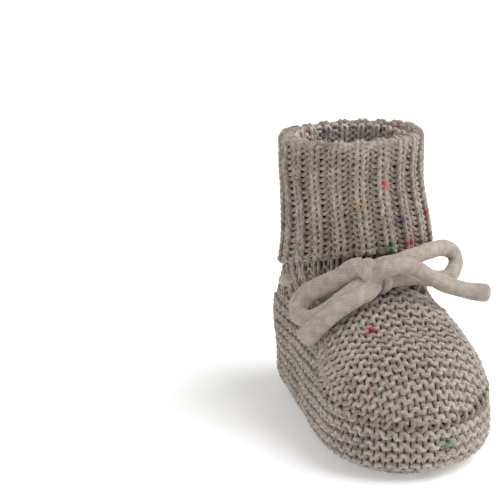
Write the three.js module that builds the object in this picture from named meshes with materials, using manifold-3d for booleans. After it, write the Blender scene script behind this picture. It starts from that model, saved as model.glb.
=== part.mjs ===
// A hand-knitted baby bootie: a garter-stitch foot made of a split sole, a side band and a vamp, an
// eyelet band round the ankle, a ribbed leg with its top turned down as a deep cuff, and a soft tie
// laced through the eyelets and tied in a bow at the front.
// Millimetres. +Z is up, the toe points to -Y, and the origin is under the middle of the whole bootie.
// Left and right are as seen from the front, so right is +X.
import * as THREE from 'three';
import { mergeVertices } from 'three/addons/utils/BufferGeometryUtils.js';
import Module from 'manifold-3d';

const wasm = await Module();
wasm.setup();

// ---- driving dimensions -------------------------------------------------------------------------
const SOLE_LENGTH = 105;      // heel to toe, outside
const BALL_WIDTH = 55;        // widest place, at the ball
const HEEL_WIDTH = 49;
const BULGE_HEIGHT = 13;      // height at which the sides stand out furthest
const SOLE_ROUNDING = 1.5;    // how far the round underside would dip below its flat
const SOLE_FULLNESS = 3;      // roundness of the sides below the bulge; 2 would be an ellipse
const UPPER_FULLNESS = 2.3;   // and above it
const TOE_HEIGHT = 40;        // top of the toe cap
const INSTEP_HEIGHT = 62;     // where the line of the vamp would meet the heel
const FABRIC = 3;             // thickness of the knitted fabric
const HEEL_Y = 50.75;         // back of the heel; the cuff overhangs it, and a longer sole grows at the toe
const ANKLE_CENTRE_Y = 24.25; // axis of the leg, at ankle height
const ANKLE_HEIGHT = 50;
const LEG_TAPER = 8;          // height over which the ankle narrows to the leg
const ANKLE_RX = 21.8;        // outer half width of the ankle
const ANKLE_RY = 24.5;        // outer half depth of the ankle
const LEG_RX = 21.4;          // outer half width of the leg inside the cuff
const LEG_RY = 22.4;          // outer half depth of the leg inside the cuff
const LEG_LEAN = 5;           // degrees the leg leans towards the toe
const TOP_HEIGHT = 95.5;      // top of the rolled cuff
const CUFF_HEM_FRONT = 57.5;   // height of the cuff's hem at the front
const CUFF_HEM_BACK = 43;     // and at the back
const CUFF_TOP_ROOM = 1;      // room between the leg and the cuff's inside at the top roll
const CUFF_MID_ROOM = 0.6;    // halfway up
const CUFF_HEM_ROOM = 3.6;    // and at the flared hem
const CUFF_DEPTH_EXTRA = 1.2; // how much deeper than wide the cuff is, half
const BAND_FRONT = 52.5;        // height of the lacing line at the front of the ankle
const BAND_BACK = 36;       // and at the back
const BAND_HALF = 4.5;        // half the height of the eyelet band
const SEAM_TOE = 19;          // height of the vamp seam at the toe
const SEAM_MIDDLE = 24;       // and beside the instep
const TIE_DIAMETER = 4.6;     // soft jersey tube
const SEAM_YARN = 1.4;        // sewing yarn of the seams
const EYELET_ANGLES = [17, 97, 132, 159]; // degrees round from the front, on each side
const EYELET_RAMP = 8;        // degrees over which the tie dives through the fabric
const EYELET_ROOM = 0.5;      // clearance of an eyelet round the tie
const GAP = 0.3;              // running clearance between neighbours
const BLEND = 10;             // softness of the crease between foot and ankle
const KNOT_CENTRE = [-5, -11.35, 54.6];
const KNOT_SEMI = [4.2, 3.3, 4.5];

// ---- mesh fineness ------------------------------------------------------------------------------
const AROUND = 40;
const TIE_SIDES = 10;
const YARN_SIDES = 6;

const TOE_Y = HEEL_Y - SOLE_LENGTH;
const SOLE_CENTRE_Y = (HEEL_Y + TOE_Y) / 2;
const HEEL_R = HEEL_WIDTH / 2;
const BALL_R = BALL_WIDTH / 2;
const TIE_R = TIE_DIAMETER / 2;
const YARN_R = SEAM_YARN / 2;
const DEGREE = Math.PI / 180;
const CUFF_TOP_RX = LEG_RX + FABRIC + CUFF_TOP_ROOM;
const CUFF_MID_RX = LEG_RX + FABRIC + CUFF_MID_ROOM;
const CUFF_HEM_RX = LEG_RX + FABRIC + CUFF_HEM_ROOM;
const ROLL_R = (CUFF_TOP_RX - (LEG_RX - FABRIC)) / 2;
const ROLL_Z = TOP_HEIGHT - ROLL_R;
const LEG_TOP = ROLL_Z - GAP;
const FAR = 200;

// ---- the form that every knitted panel follows ---------------------------------------------------
const clamp = (v, lo, hi) => Math.min(Math.max(v, lo), hi);
const mix = (a, b, t) => a + (b - a) * t;
const smooth = (v, lo, hi) => {
  const t = clamp((v - lo) / (hi - lo), 0, 1);
  return t * t * (3 - 2 * t);
};
const smoothMin = (a, b, k) => {
  const h = clamp(0.5 + 0.5 * (b - a) / k, 0, 1);
  return mix(b, a, h) - k * h * (1 - h);
};
const legCentreY = (z) => ANKLE_CENTRE_Y - Math.tan(LEG_LEAN * DEGREE) * (z - ANKLE_HEIGHT);
const legShare = (z) => smooth(z, ANKLE_HEIGHT, ANKLE_HEIGHT + LEG_TAPER);

function footField(x, y, z) {
  const heelY = HEEL_Y - HEEL_R;
  const ballY = TOE_Y + BALL_R;
  const t = clamp((heelY - y) / (heelY - ballY), 0, 1);
  const radius = mix(HEEL_R, BALL_R, t);
  const out = Math.hypot(x, y - mix(heelY, ballY, t)) / radius;
  const top = mix(INSTEP_HEIGHT, TOE_HEIGHT, t);
  const above = z > BULGE_HEIGHT;
  const up = above ? (z - BULGE_HEIGHT) / (top - BULGE_HEIGHT)
    : (BULGE_HEIGHT - z) / (BULGE_HEIGHT + SOLE_ROUNDING);
  const power = above ? UPPER_FULLNESS : SOLE_FULLNESS;
  return (Math.pow(Math.pow(out, power) + Math.pow(up, power), 1 / power) - 1) * radius * 0.8;
}

function legField(x, y, z) {
  const rx = mix(ANKLE_RX, LEG_RX, legShare(z));
  const ry = mix(ANKLE_RY, LEG_RY, legShare(z));
  const side = (Math.hypot(x / rx, (y - legCentreY(z)) / ry) - 1) * rx;
  return Math.max(side, 22 - z);
}

// The crease between foot and leg is soft at the instep and fades towards the heel and up the leg.
function bodyField(x, y, z) {
  const fade = Math.max(smooth(y, ANKLE_CENTRE_Y - 20, ANKLE_CENTRE_Y + 15),
    smooth(z, ANKLE_HEIGHT - 2, ANKLE_HEIGHT + LEG_TAPER));
  return smoothMin(footField(x, y, z), legField(x, y, z), mix(BLEND, 1, fade));
}

function bodyNormal(p) {
  const h = 0.05;
  const along = (dx, dy, dz) => bodyField(p.x + dx, p.y + dy, p.z + dz)
    - bodyField(p.x - dx, p.y - dy, p.z - dz);
  return new THREE.Vector3(along(h, 0, 0), along(0, h, 0), along(0, 0, h)).normalize();
}

// The outer surface, seen from the axis inside at height z. Angle 0 is the front, 90 the right side.
const axisY = (z) => mix(SOLE_CENTRE_Y + 8, legCentreY(z), smooth(z, 34, 56));
function bodyPoint(angle, z) {
  const dx = Math.sin(angle);
  const dy = -Math.cos(angle);
  const y0 = axisY(z);
  let near = 0;
  let far = SOLE_LENGTH;
  for (let i = 0; i < 32; i++) {
    const r = (near + far) / 2;
    if (bodyField(dx * r, y0 + dy * r, z) < 0) near = r;
    else far = r;
  }
  return new THREE.Vector3(dx * near, y0 + dy * near, z);
}

// ---- heights that slope from the front of the ankle to its back ----------------------------------
const slopeLine = (front, back) => (y) => mix(front, back,
  (y - ANKLE_CENTRE_Y + ANKLE_RY) / (2 * ANKLE_RY));
const bandLine = slopeLine(BAND_FRONT, BAND_BACK);
const hemLine = slopeLine(CUFF_HEM_FRONT, CUFF_HEM_BACK);

// ---- solids -------------------------------------------------------------------------------------
function toSolid(geometry) {
  const bare = geometry.clone();
  bare.deleteAttribute('normal');
  bare.deleteAttribute('uv');
  const welded = mergeVertices(bare, 1e-4);
  return new wasm.Manifold(new wasm.Mesh({
    numProp: 3,
    vertProperties: new Float32Array(welded.attributes.position.array),
    triVerts: new Uint32Array(welded.index.array),
  }));
}

// The body itself, without any shaving that a cut leaves behind.
const withoutShavings = (solid) => solid.decompose().sort((a, b) => b.volume() - a.volume())[0];

function toGeometry(solid) {
  const mesh = solid.getMesh();
  const geometry = new THREE.BufferGeometry();
  geometry.setAttribute('position', new THREE.BufferAttribute(new Float32Array(mesh.vertProperties), 3));
  geometry.setIndex(new THREE.BufferAttribute(new Uint32Array(mesh.triVerts), 1));
  return geometry;
}

// Rings of equal length, bottom to top and anticlockwise from above, closed by a fan at each end.
function ringSolid(rings) {
  const n = rings[0].length;
  const points = rings.flat();
  const middle = (ring) => ring.reduce((sum, p) => sum.add(p), new THREE.Vector3()).divideScalar(n);
  points.push(middle(rings[0]), middle(rings[rings.length - 1]));
  const faces = [];
  for (let i = 0; i < n; i++) {
    const j = (i + 1) % n;
    for (let k = 0; k + 1 < rings.length; k++) {
      const a = k * n + i;
      const b = k * n + j;
      faces.push(a, b, b + n, a, b + n, a + n);
    }
    const last = (rings.length - 1) * n;
    faces.push(points.length - 2, j, i, points.length - 1, last + i, last + j);
  }
  const geometry = new THREE.BufferGeometry();
  const values = points.flatMap((p) => [p.x, p.y, p.z]);
  geometry.setAttribute('position', new THREE.Float32BufferAttribute(values, 3));
  geometry.setIndex(faces);
  return geometry;
}

// A closed outline in (y, z), extruded right through the object along X between two widths.
function slab(outline, x0 = -FAR / 2, x1 = FAR / 2) {
  const shape = new THREE.Shape(outline.map(([y, z]) => new THREE.Vector2(y, z)));
  const geometry = new THREE.ExtrudeGeometry(shape, { depth: x1 - x0, bevelEnabled: false });
  const turn = new THREE.Matrix4().makeBasis(
    new THREE.Vector3(0, 1, 0), new THREE.Vector3(0, 0, 1), new THREE.Vector3(1, 0, 0));
  geometry.applyMatrix4(turn).translate(x0, 0, 0);
  return toSolid(geometry);
}

function tube(points, radius, sides, steps) {
  const path = new THREE.CatmullRomCurve3(points, false, 'centripetal');
  const shape = new THREE.Shape();
  for (let i = 0; i < sides; i++) {
    const a = 2 * Math.PI * i / sides;
    if (i === 0) shape.moveTo(radius, 0);
    else shape.lineTo(radius * Math.cos(a), radius * Math.sin(a));
  }
  return new THREE.ExtrudeGeometry(shape, { extrudePath: path, steps, bevelEnabled: false });
}

const vectors = (list) => list.map((p) => new THREE.Vector3(...p));

// ---- the foot, ankle and leg as one hollow body, cut into its panels -----------------------------
function bodyLevels() {
  const levels = [0, 1.2, 3.5, 8, 13, 19, 25, 30, 33.5];
  for (let z = 36; z < 59; z += 2.2) levels.push(z);
  for (let z = 62; z < LEG_TOP - 8; z += 14) levels.push(z);
  levels.push(LEG_TOP);
  return levels;
}

function hollowBody() {
  const levels = bodyLevels();
  const ring = (z, depth, lift = 0) => Array.from({ length: AROUND }, (_, i) => {
    const p = bodyPoint(2 * Math.PI * i / AROUND, z);
    return p.addScaledVector(bodyNormal(p), -depth).add(new THREE.Vector3(0, 0, lift));
  });
  const outer = toSolid(ringSolid(levels.map((z) => ring(z, 0))));
  const innerLevels = levels.filter((z) => z >= 1);
  const inner = toSolid(ringSolid([...innerLevels.map((z) => ring(z, FABRIC)), ring(LEG_TOP, FABRIC, 5)]));
  const roomAbove = slab([[-FAR, FABRIC], [FAR, FABRIC], [FAR, FAR], [-FAR, FAR]]);
  return outer.subtract(inner.intersect(roomAbove));
}

// Height of the seam round the vamp: low round the toe, rising steeply to the eyelet band.
const SEAM_END_Y = -0.75;     // where the vamp seam meets the band
const SEAM_TOP = bandLine(SEAM_END_Y) - BAND_HALF - 2 * GAP;
function vampSeamLine(y) {
  const low = mix(SEAM_TOE, SEAM_MIDDLE, clamp((y - TOE_Y) / 30, 0, 1));
  const rise = smooth(y, TOE_Y + 26, SEAM_END_Y);
  return mix(low, SEAM_TOP, rise * rise);
}

function bodyPanels() {
  const body = hollowBody();
  const half = GAP / 2;
  const steps = Array.from({ length: 17 }, (_, i) => mix(TOE_Y - 1, SEAM_END_Y, i / 16));
  const seam = (side) => steps.map((y) => {
    const slope = (vampSeamLine(y + 0.1) - vampSeamLine(y - 0.1)) / 0.2;
    return [y, vampSeamLine(y) + side * half * Math.hypot(1, slope)];
  });
  const under = (y) => bandLine(y) - BAND_HALF;
  const over = (y) => bandLine(y) + BAND_HALF;
  const soleTop = FABRIC + GAP;
  const behind = FAR / 2;
  const cutY = SEAM_END_Y;
  const vampEdge = [...seam(1).slice(0, -1), [cutY - GAP, SEAM_TOP + half]];

  const backSlit = slab([[ANKLE_CENTRE_Y, -1], [behind, -1], [behind, FAR], [ANKLE_CENTRE_Y, FAR]],
    -half, half);
  const sole = body.intersect(slab([[-behind, -1], [behind, -1], [behind, FABRIC], [-behind, FABRIC]]));
  const groove = slab([[-behind, -1], [behind, -1], [behind, FAR], [-behind, FAR]],
    -YARN_R - GAP, YARN_R + GAP);
  const rightSide = slab([[-behind, -1], [behind, -1], [behind, FAR], [-behind, FAR]], 0, behind);
  const open = sole.subtract(groove);

  const sides = body.intersect(slab([
    [-behind, soleTop], [behind, soleTop], [behind, under(behind) - half],
    [cutY, under(cutY) - half], ...seam(-1).reverse(), [-behind, SEAM_TOE - half],
  ])).subtract(backSlit);
  const vamp = body.intersect(slab([
    [-behind, SEAM_TOE + half], ...vampEdge, [cutY - GAP, under(cutY) - half],
    [-behind, under(-behind) - half],
  ]));
  const band = body.intersect(slab([
    [-behind, under(-behind) + half], [behind, under(behind) + half],
    [behind, over(behind) - half], [-behind, over(-behind) - half],
  ])).subtract(backSlit);
  const leg = body.intersect(slab([
    [-behind, over(-behind) + half], [behind, over(behind) + half], [behind, FAR], [-behind, FAR],
  ])).subtract(backSlit);
  // The wider cut folds over itself inside the tie's tight turns, so a narrower one clears those too.
  const holed = [EYELET_ROOM, GAP].reduce(
    (rest, room) => rest.subtract(toSolid(lacingTube(TIE_R + room))), band);
  return {
    sole_left_half: open.subtract(rightSide),
    sole_right_half: open.intersect(rightSide),
    side_band: sides,
    vamp,
    ankle_band: withoutShavings(holed),
    leg_rib: leg,
  };
}

// ---- yarn seams ---------------------------------------------------------------------------------
// A yarn lying on the outer surface through the given (angle, height) stations.
function yarnOnBody(stations, depth = -YARN_R - GAP) {
  return stations.map(([angle, z]) => {
    const p = bodyPoint(angle, z);
    return p.addScaledVector(bodyNormal(p), -depth);
  });
}

// Half width of the outer surface at one place along the foot and one height.
function halfWidth(y, z) {
  let near = 0;
  let far = BALL_WIDTH;
  for (let i = 0; i < 32; i++) {
    const x = (near + far) / 2;
    if (bodyField(x, y, z) < 0) near = x;
    else far = x;
  }
  return near;
}

function vampSeam() {
  const toe = bodyPoint(0, SEAM_TOE).y + GAP / 2;
  const end = SEAM_END_Y - YARN_R - 2 * GAP;
  const points = [];
  const count = 36;
  for (let i = -count; i <= count; i += 2) {
    const y = mix(toe, end, 1 - Math.cos(Math.PI / 2 * i / count));
    const z = vampSeamLine(y);
    const p = new THREE.Vector3(Math.sign(i) * halfWidth(y, z), y, z);
    points.push(p.addScaledVector(bodyNormal(p), YARN_R + GAP));
  }
  return tube(points, YARN_R, YARN_SIDES, 44);
}

function heelSeam() {
  const points = [];
  const top = bandLine(HEEL_Y) - BAND_HALF - 1;
  for (let i = 0; i <= 10; i++) points.push([Math.PI, mix(FABRIC + 2, top, i / 10)]);
  return tube(yarnOnBody(points), YARN_R, YARN_SIDES, 14);
}

function legSeam() {
  const points = [];
  const bottom = bandLine(HEEL_Y) + BAND_HALF + 2;
  for (let i = 0; i <= 10; i++) points.push([Math.PI, mix(bottom, LEG_TOP - 1, i / 10)]);
  return tube(yarnOnBody(points, FABRIC + YARN_R + GAP), YARN_R, YARN_SIDES, 16);
}

function soleSeam() {
  const z = YARN_R + GAP;
  const ends = [TOE_Y + 9, HEEL_Y - 9];
  const points = Array.from({ length: 7 }, (_, i) => [0, mix(ends[0], ends[1], i / 6), z]);
  return tube(vectors(points), YARN_R, YARN_SIDES, 8);
}

// ---- the turned-down cuff -----------------------------------------------------------------------
const cuffRadius = (u) => CUFF_HEM_RX * (1 - u) * (1 - 2 * u) + 4 * CUFF_MID_RX * u * (1 - u)
  + CUFF_TOP_RX * u * (2 * u - 1);

// Section of the cuff at one angle: (half width, height) up the outside, over the roll, down the inside.
function cuffSection(hem) {
  const section = [];
  const wall = 6;
  const roll = 6;
  for (let i = 0; i <= wall; i++) section.push([cuffRadius(i / wall), mix(hem, ROLL_Z, i / wall)]);
  const middle = CUFF_TOP_RX - ROLL_R;
  for (let i = 1; i <= roll; i++) {
    const a = Math.PI * i / roll;
    section.push([middle + ROLL_R * Math.cos(a), ROLL_Z + ROLL_R * Math.sin(a)]);
  }
  for (let i = wall; i >= 0; i--) {
    const z = mix(hem, ROLL_Z, i / wall);
    section.push([cuffRadius(i / wall) - FABRIC, z]);
  }
  return section;
}

function cuffPoint(angle, width, z) {
  const depth = width + CUFF_DEPTH_EXTRA;
  return new THREE.Vector3(width * Math.sin(angle), legCentreY(z) - depth * Math.cos(angle), z);
}

const cuffHem = (angle) => hemLine(legCentreY(ANKLE_HEIGHT)
  - (CUFF_HEM_RX + CUFF_DEPTH_EXTRA) * Math.cos(angle));

function cuff() {
  const points = [];
  let count = 0;
  for (let i = 0; i < AROUND; i++) {
    const angle = 2 * Math.PI * i / AROUND;
    const section = cuffSection(cuffHem(angle));
    count = section.length;
    section.forEach(([width, z]) => points.push(cuffPoint(angle, width, z)));
  }
  const faces = [];
  for (let i = 0; i < AROUND; i++) {
    const next = (i + 1) % AROUND;
    for (let k = 0; k < count; k++) {
      const up = (k + 1) % count;
      const [a, b, c, d] = [i * count + k, next * count + k, next * count + up, i * count + up];
      faces.push(a, b, c, a, c, d);
    }
  }
  const geometry = new THREE.BufferGeometry();
  const values = points.flatMap((p) => [p.x, p.y, p.z]);
  geometry.setAttribute('position', new THREE.Float32BufferAttribute(values, 3));
  geometry.setIndex(faces);
  const slit = slab([[ANKLE_CENTRE_Y, 0], [FAR, 0], [FAR, FAR], [ANKLE_CENTRE_Y, FAR]], -GAP / 2, GAP / 2);
  return toGeometry(toSolid(geometry).subtract(slit));
}

function cuffSeam() {
  const hem = cuffHem(Math.PI);
  const points = [];
  for (let i = 0; i <= 12; i++) {
    const u = i / 12;
    const z = mix(hem + 1, ROLL_Z, u);
    points.push(cuffPoint(Math.PI, cuffRadius((z - hem) / (ROLL_Z - hem)) + YARN_R + GAP, z));
  }
  return tube(points, YARN_R, YARN_SIDES, 14);
}

// ---- the tie ------------------------------------------------------------------------------------
// Height of the lacing line at one angle: the line slopes with y, so it is found by repeated halving.
function lacingHeight(angle) {
  let z = BAND_FRONT;
  for (let k = 0; k < 24; k++) z = mix(z, bandLine(bodyPoint(angle, z).y), 0.5);
  return z;
}

// How far outside the fabric (positive) or inside it (negative) the tie's middle runs at one angle.
function lacingOffset(degrees) {
  const outside = TIE_R + GAP;
  const inside = -FABRIC - TIE_R - 2 * GAP;
  const away = Math.min(degrees, 360 - degrees);
  let share = 0;
  EYELET_ANGLES.forEach((eyelet, i) => {
    const step = smooth(away, eyelet - EYELET_RAMP, eyelet + EYELET_RAMP);
    share += i % 2 === 0 ? step : -step;
  });
  return mix(outside, inside, share);
}

function lacingTube(radius) {
  const points = [];
  const start = 0.4;
  const count = 120;
  for (let i = 0; i <= count; i++) {
    const degrees = mix(start, 360 - start, i / count);
    const p = bodyPoint(degrees * DEGREE, lacingHeight(degrees * DEGREE));
    points.push(p.addScaledVector(bodyNormal(p), lacingOffset(degrees)));
  }
  return tube(points, radius, TIE_SIDES, 66);
}

function knot() {
  return new THREE.SphereGeometry(1, 16, 12).scale(...KNOT_SEMI).translate(...KNOT_CENTRE);
}

const RIGHT_LOOP = [
  [0.2, -10.7, 57.3], [3.8, -10.2, 57.5], [7.5, -8.9, 57.6], [12, -7, 57.9], [17.5, -3.8, 58],
  [23.5, 1.5, 57], [28.4, 5, 55.8], [31.9, 6, 53.6], [32.4, 4.6, 50.4], [28, 0.1, 47.4],
  [23.8, -1.6, 47.4], [18.2, -4.5, 49.2], [12, -7.7, 51.2], [6.5, -9.9, 52], [0.6, -10.6, 52],
];
const LEFT_LOOP = [
  [-10.1, -9.2, 56.5], [-12.4, -7.8, 54.6], [-15, -5.8, 52.2], [-19.3, -3, 49.6], [-23.1, 0.2, 46],
  [-25.6, 0.4, 42.4], [-25.6, -3.4, 39.9], [-22.4, -8.6, 42.2], [-17.4, -11.6, 46.4], [-13, -12.2, 49.8],
  [-10.1, -12.1, 51.8],
];
const RIGHT_TAIL = [
  [-2.0, -15.6, 57.2], [1.6, -15.9, 58.2], [5.4, -15.6, 58.2], [10, -15.3, 56], [14.6, -15.2, 52.9],
  [20.2, -14.2, 49.6], [29.2, -13.3, 46], [35.8, -15.2, 45],
];
const LEFT_TAIL = [
  [-7.4, -15.8, 50.6], [-10, -16.6, 49.8], [-13.6, -17.1, 48.4], [-18, -16.9, 46], [-22, -15.8, 42.6],
  [-25.4, -13.7, 38.8], [-27.8, -11.8, 35],
];

// ---- materials ----------------------------------------------------------------------------------
const wool = (colour) => new THREE.MeshStandardMaterial({ color: colour, roughness: 0.95, metalness: 0 });
const GARTER = 0xaaa096;
const RIB = 0xa39990;
const YARN = 0x958b80;
const JERSEY = 0xb0a698;

// ---- assembly -----------------------------------------------------------------------------------
const bootie = new THREE.Group();
function add(name, geometry, colour) {
  const mesh = new THREE.Mesh(geometry, wool(colour));
  mesh.name = name;
  bootie.add(mesh);
}

const PANEL_COLOURS = { ankle_band: RIB, leg_rib: RIB };
for (const [name, solid] of Object.entries(bodyPanels())) {
  add(name, toGeometry(solid), PANEL_COLOURS[name] ?? GARTER);
}
add('sole_seam', soleSeam(), YARN);
add('vamp_seam', vampSeam(), YARN);
add('heel_seam', heelSeam(), YARN);
add('leg_seam', legSeam(), YARN);
add('cuff', cuff(), RIB);
add('cuff_seam', cuffSeam(), YARN);
add('tie_lacing', lacingTube(TIE_R), JERSEY);
add('bow_knot', knot(), JERSEY);
for (const [name, route, steps] of [
  ['bow_loop_left', LEFT_LOOP, 20], ['bow_loop_right', RIGHT_LOOP, 24],
  ['tie_tail_left', LEFT_TAIL, 10], ['tie_tail_right', RIGHT_TAIL, 12],
]) {
  add(name, tube(vectors(route), TIE_R, TIE_SIDES, steps), JERSEY);
}

export default bootie;
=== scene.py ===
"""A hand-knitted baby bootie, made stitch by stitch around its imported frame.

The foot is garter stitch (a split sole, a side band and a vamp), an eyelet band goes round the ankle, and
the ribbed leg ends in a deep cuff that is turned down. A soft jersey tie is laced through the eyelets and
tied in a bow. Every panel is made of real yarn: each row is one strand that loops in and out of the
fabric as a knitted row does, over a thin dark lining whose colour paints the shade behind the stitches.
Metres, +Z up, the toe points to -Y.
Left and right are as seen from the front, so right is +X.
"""
import logging
from collections.abc import Callable, Iterable, Sequence
from dataclasses import dataclass, field, replace
from enum import Enum
from math import cos, pi, radians, sin, tan

import bpy
import numpy as np
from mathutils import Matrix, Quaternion, Vector


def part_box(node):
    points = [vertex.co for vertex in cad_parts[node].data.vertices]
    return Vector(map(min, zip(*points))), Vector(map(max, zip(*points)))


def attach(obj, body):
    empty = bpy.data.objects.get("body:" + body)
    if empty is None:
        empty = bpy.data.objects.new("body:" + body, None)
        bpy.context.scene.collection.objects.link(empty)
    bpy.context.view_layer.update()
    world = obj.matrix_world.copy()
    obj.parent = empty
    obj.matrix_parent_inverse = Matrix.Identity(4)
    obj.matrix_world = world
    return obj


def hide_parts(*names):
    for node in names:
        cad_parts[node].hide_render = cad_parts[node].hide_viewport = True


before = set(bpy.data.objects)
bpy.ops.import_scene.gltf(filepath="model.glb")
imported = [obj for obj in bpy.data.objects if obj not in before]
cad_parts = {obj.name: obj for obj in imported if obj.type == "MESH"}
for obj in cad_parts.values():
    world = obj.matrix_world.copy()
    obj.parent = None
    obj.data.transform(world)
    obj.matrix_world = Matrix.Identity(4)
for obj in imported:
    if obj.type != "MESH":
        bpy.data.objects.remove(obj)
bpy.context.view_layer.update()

log = logging.getLogger("bootie")
MM = 0.001
Array = np.ndarray
Point = tuple[float, float, float]


# ---- small mathematics ---------------------------------------------------------------------------
def mix(a: Array | float, b: Array | float, t: Array | float) -> Array | float:
    """Returns the value a share t of the way from a to b."""
    return a + (b - a) * t


def smooth(v: Array | float, lo: float, hi: float) -> Array | float:
    """Returns 0 below lo, 1 above hi and a smooth step between them."""
    t = np.clip((v - lo) / (hi - lo), 0, 1)
    return t * t * (3 - 2 * t)


def unit(vectors: Array) -> Array:
    """Returns the vectors at length one."""
    return vectors / np.maximum(np.linalg.norm(vectors, axis=-1, keepdims=True), 1e-12)


def along(points: Array) -> Array:
    """Returns the distance of each point from the first, measured along the line through them."""
    steps = np.linalg.norm(np.diff(points, axis=0), axis=1)
    return np.concatenate([[0.0], np.cumsum(steps)])


def catmull_rom(points: Sequence[Point], per_span: int) -> Array:
    """Runs a centripetal Catmull-Rom curve through points.

    Args:
        points: The points that the curve passes through, in metres.
        per_span: How many steps each span between two points is cut into.

    Returns:
        The points of the curve, one row each.
    """
    p = np.asarray(points, float)
    p = np.vstack([2 * p[0] - p[1], p, 2 * p[-1] - p[-2]])
    found = []
    for a, b, c, d in zip(p[:-3], p[1:-2], p[2:-1], p[3:]):
        knots = np.cumsum([0.0] + [np.linalg.norm(q - r) ** 0.5 for q, r in ((b, a), (c, b), (d, c))])
        t = mix(knots[1], knots[2], np.linspace(0, 1, per_span, endpoint=False))[:, None]
        first = [mix(q, r, (t - k0) / (k1 - k0)) for q, r, k0, k1 in (
            (a, b, knots[0], knots[1]), (b, c, knots[1], knots[2]), (c, d, knots[2], knots[3]))]
        second = [mix(q, r, (t - k0) / (k1 - k0)) for q, r, k0, k1 in (
            (first[0], first[1], knots[0], knots[2]), (first[1], first[2], knots[1], knots[3]))]
        found.append(mix(second[0], second[1], (t - knots[1]) / (knots[2] - knots[1])))
    return np.vstack([*found, p[-2][None]])


# ---- the form that the panels follow -------------------------------------------------------------
@dataclass(frozen=True)
class Fullness:
    """A soft swelling of one side of the bootie."""

    side: int
    amount: float
    middle: tuple[float, float]
    spread: tuple[float, float]
    fade: tuple[float, float] = (6 * MM, 20 * MM)

    def swell(self, points: Array) -> Array:
        """Finds how far the swelling pushes the form out.

        Args:
            points: Points on the form.

        Returns:
            The distance at each point.
        """
        forward, upward = ((points[..., 1 + i] - self.middle[i]) / self.spread[i] for i in range(2))
        sideways = smooth(self.side * points[..., 0], *self.fade)
        return self.amount * np.exp(-forward ** 2 - upward ** 2) * sideways


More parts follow.
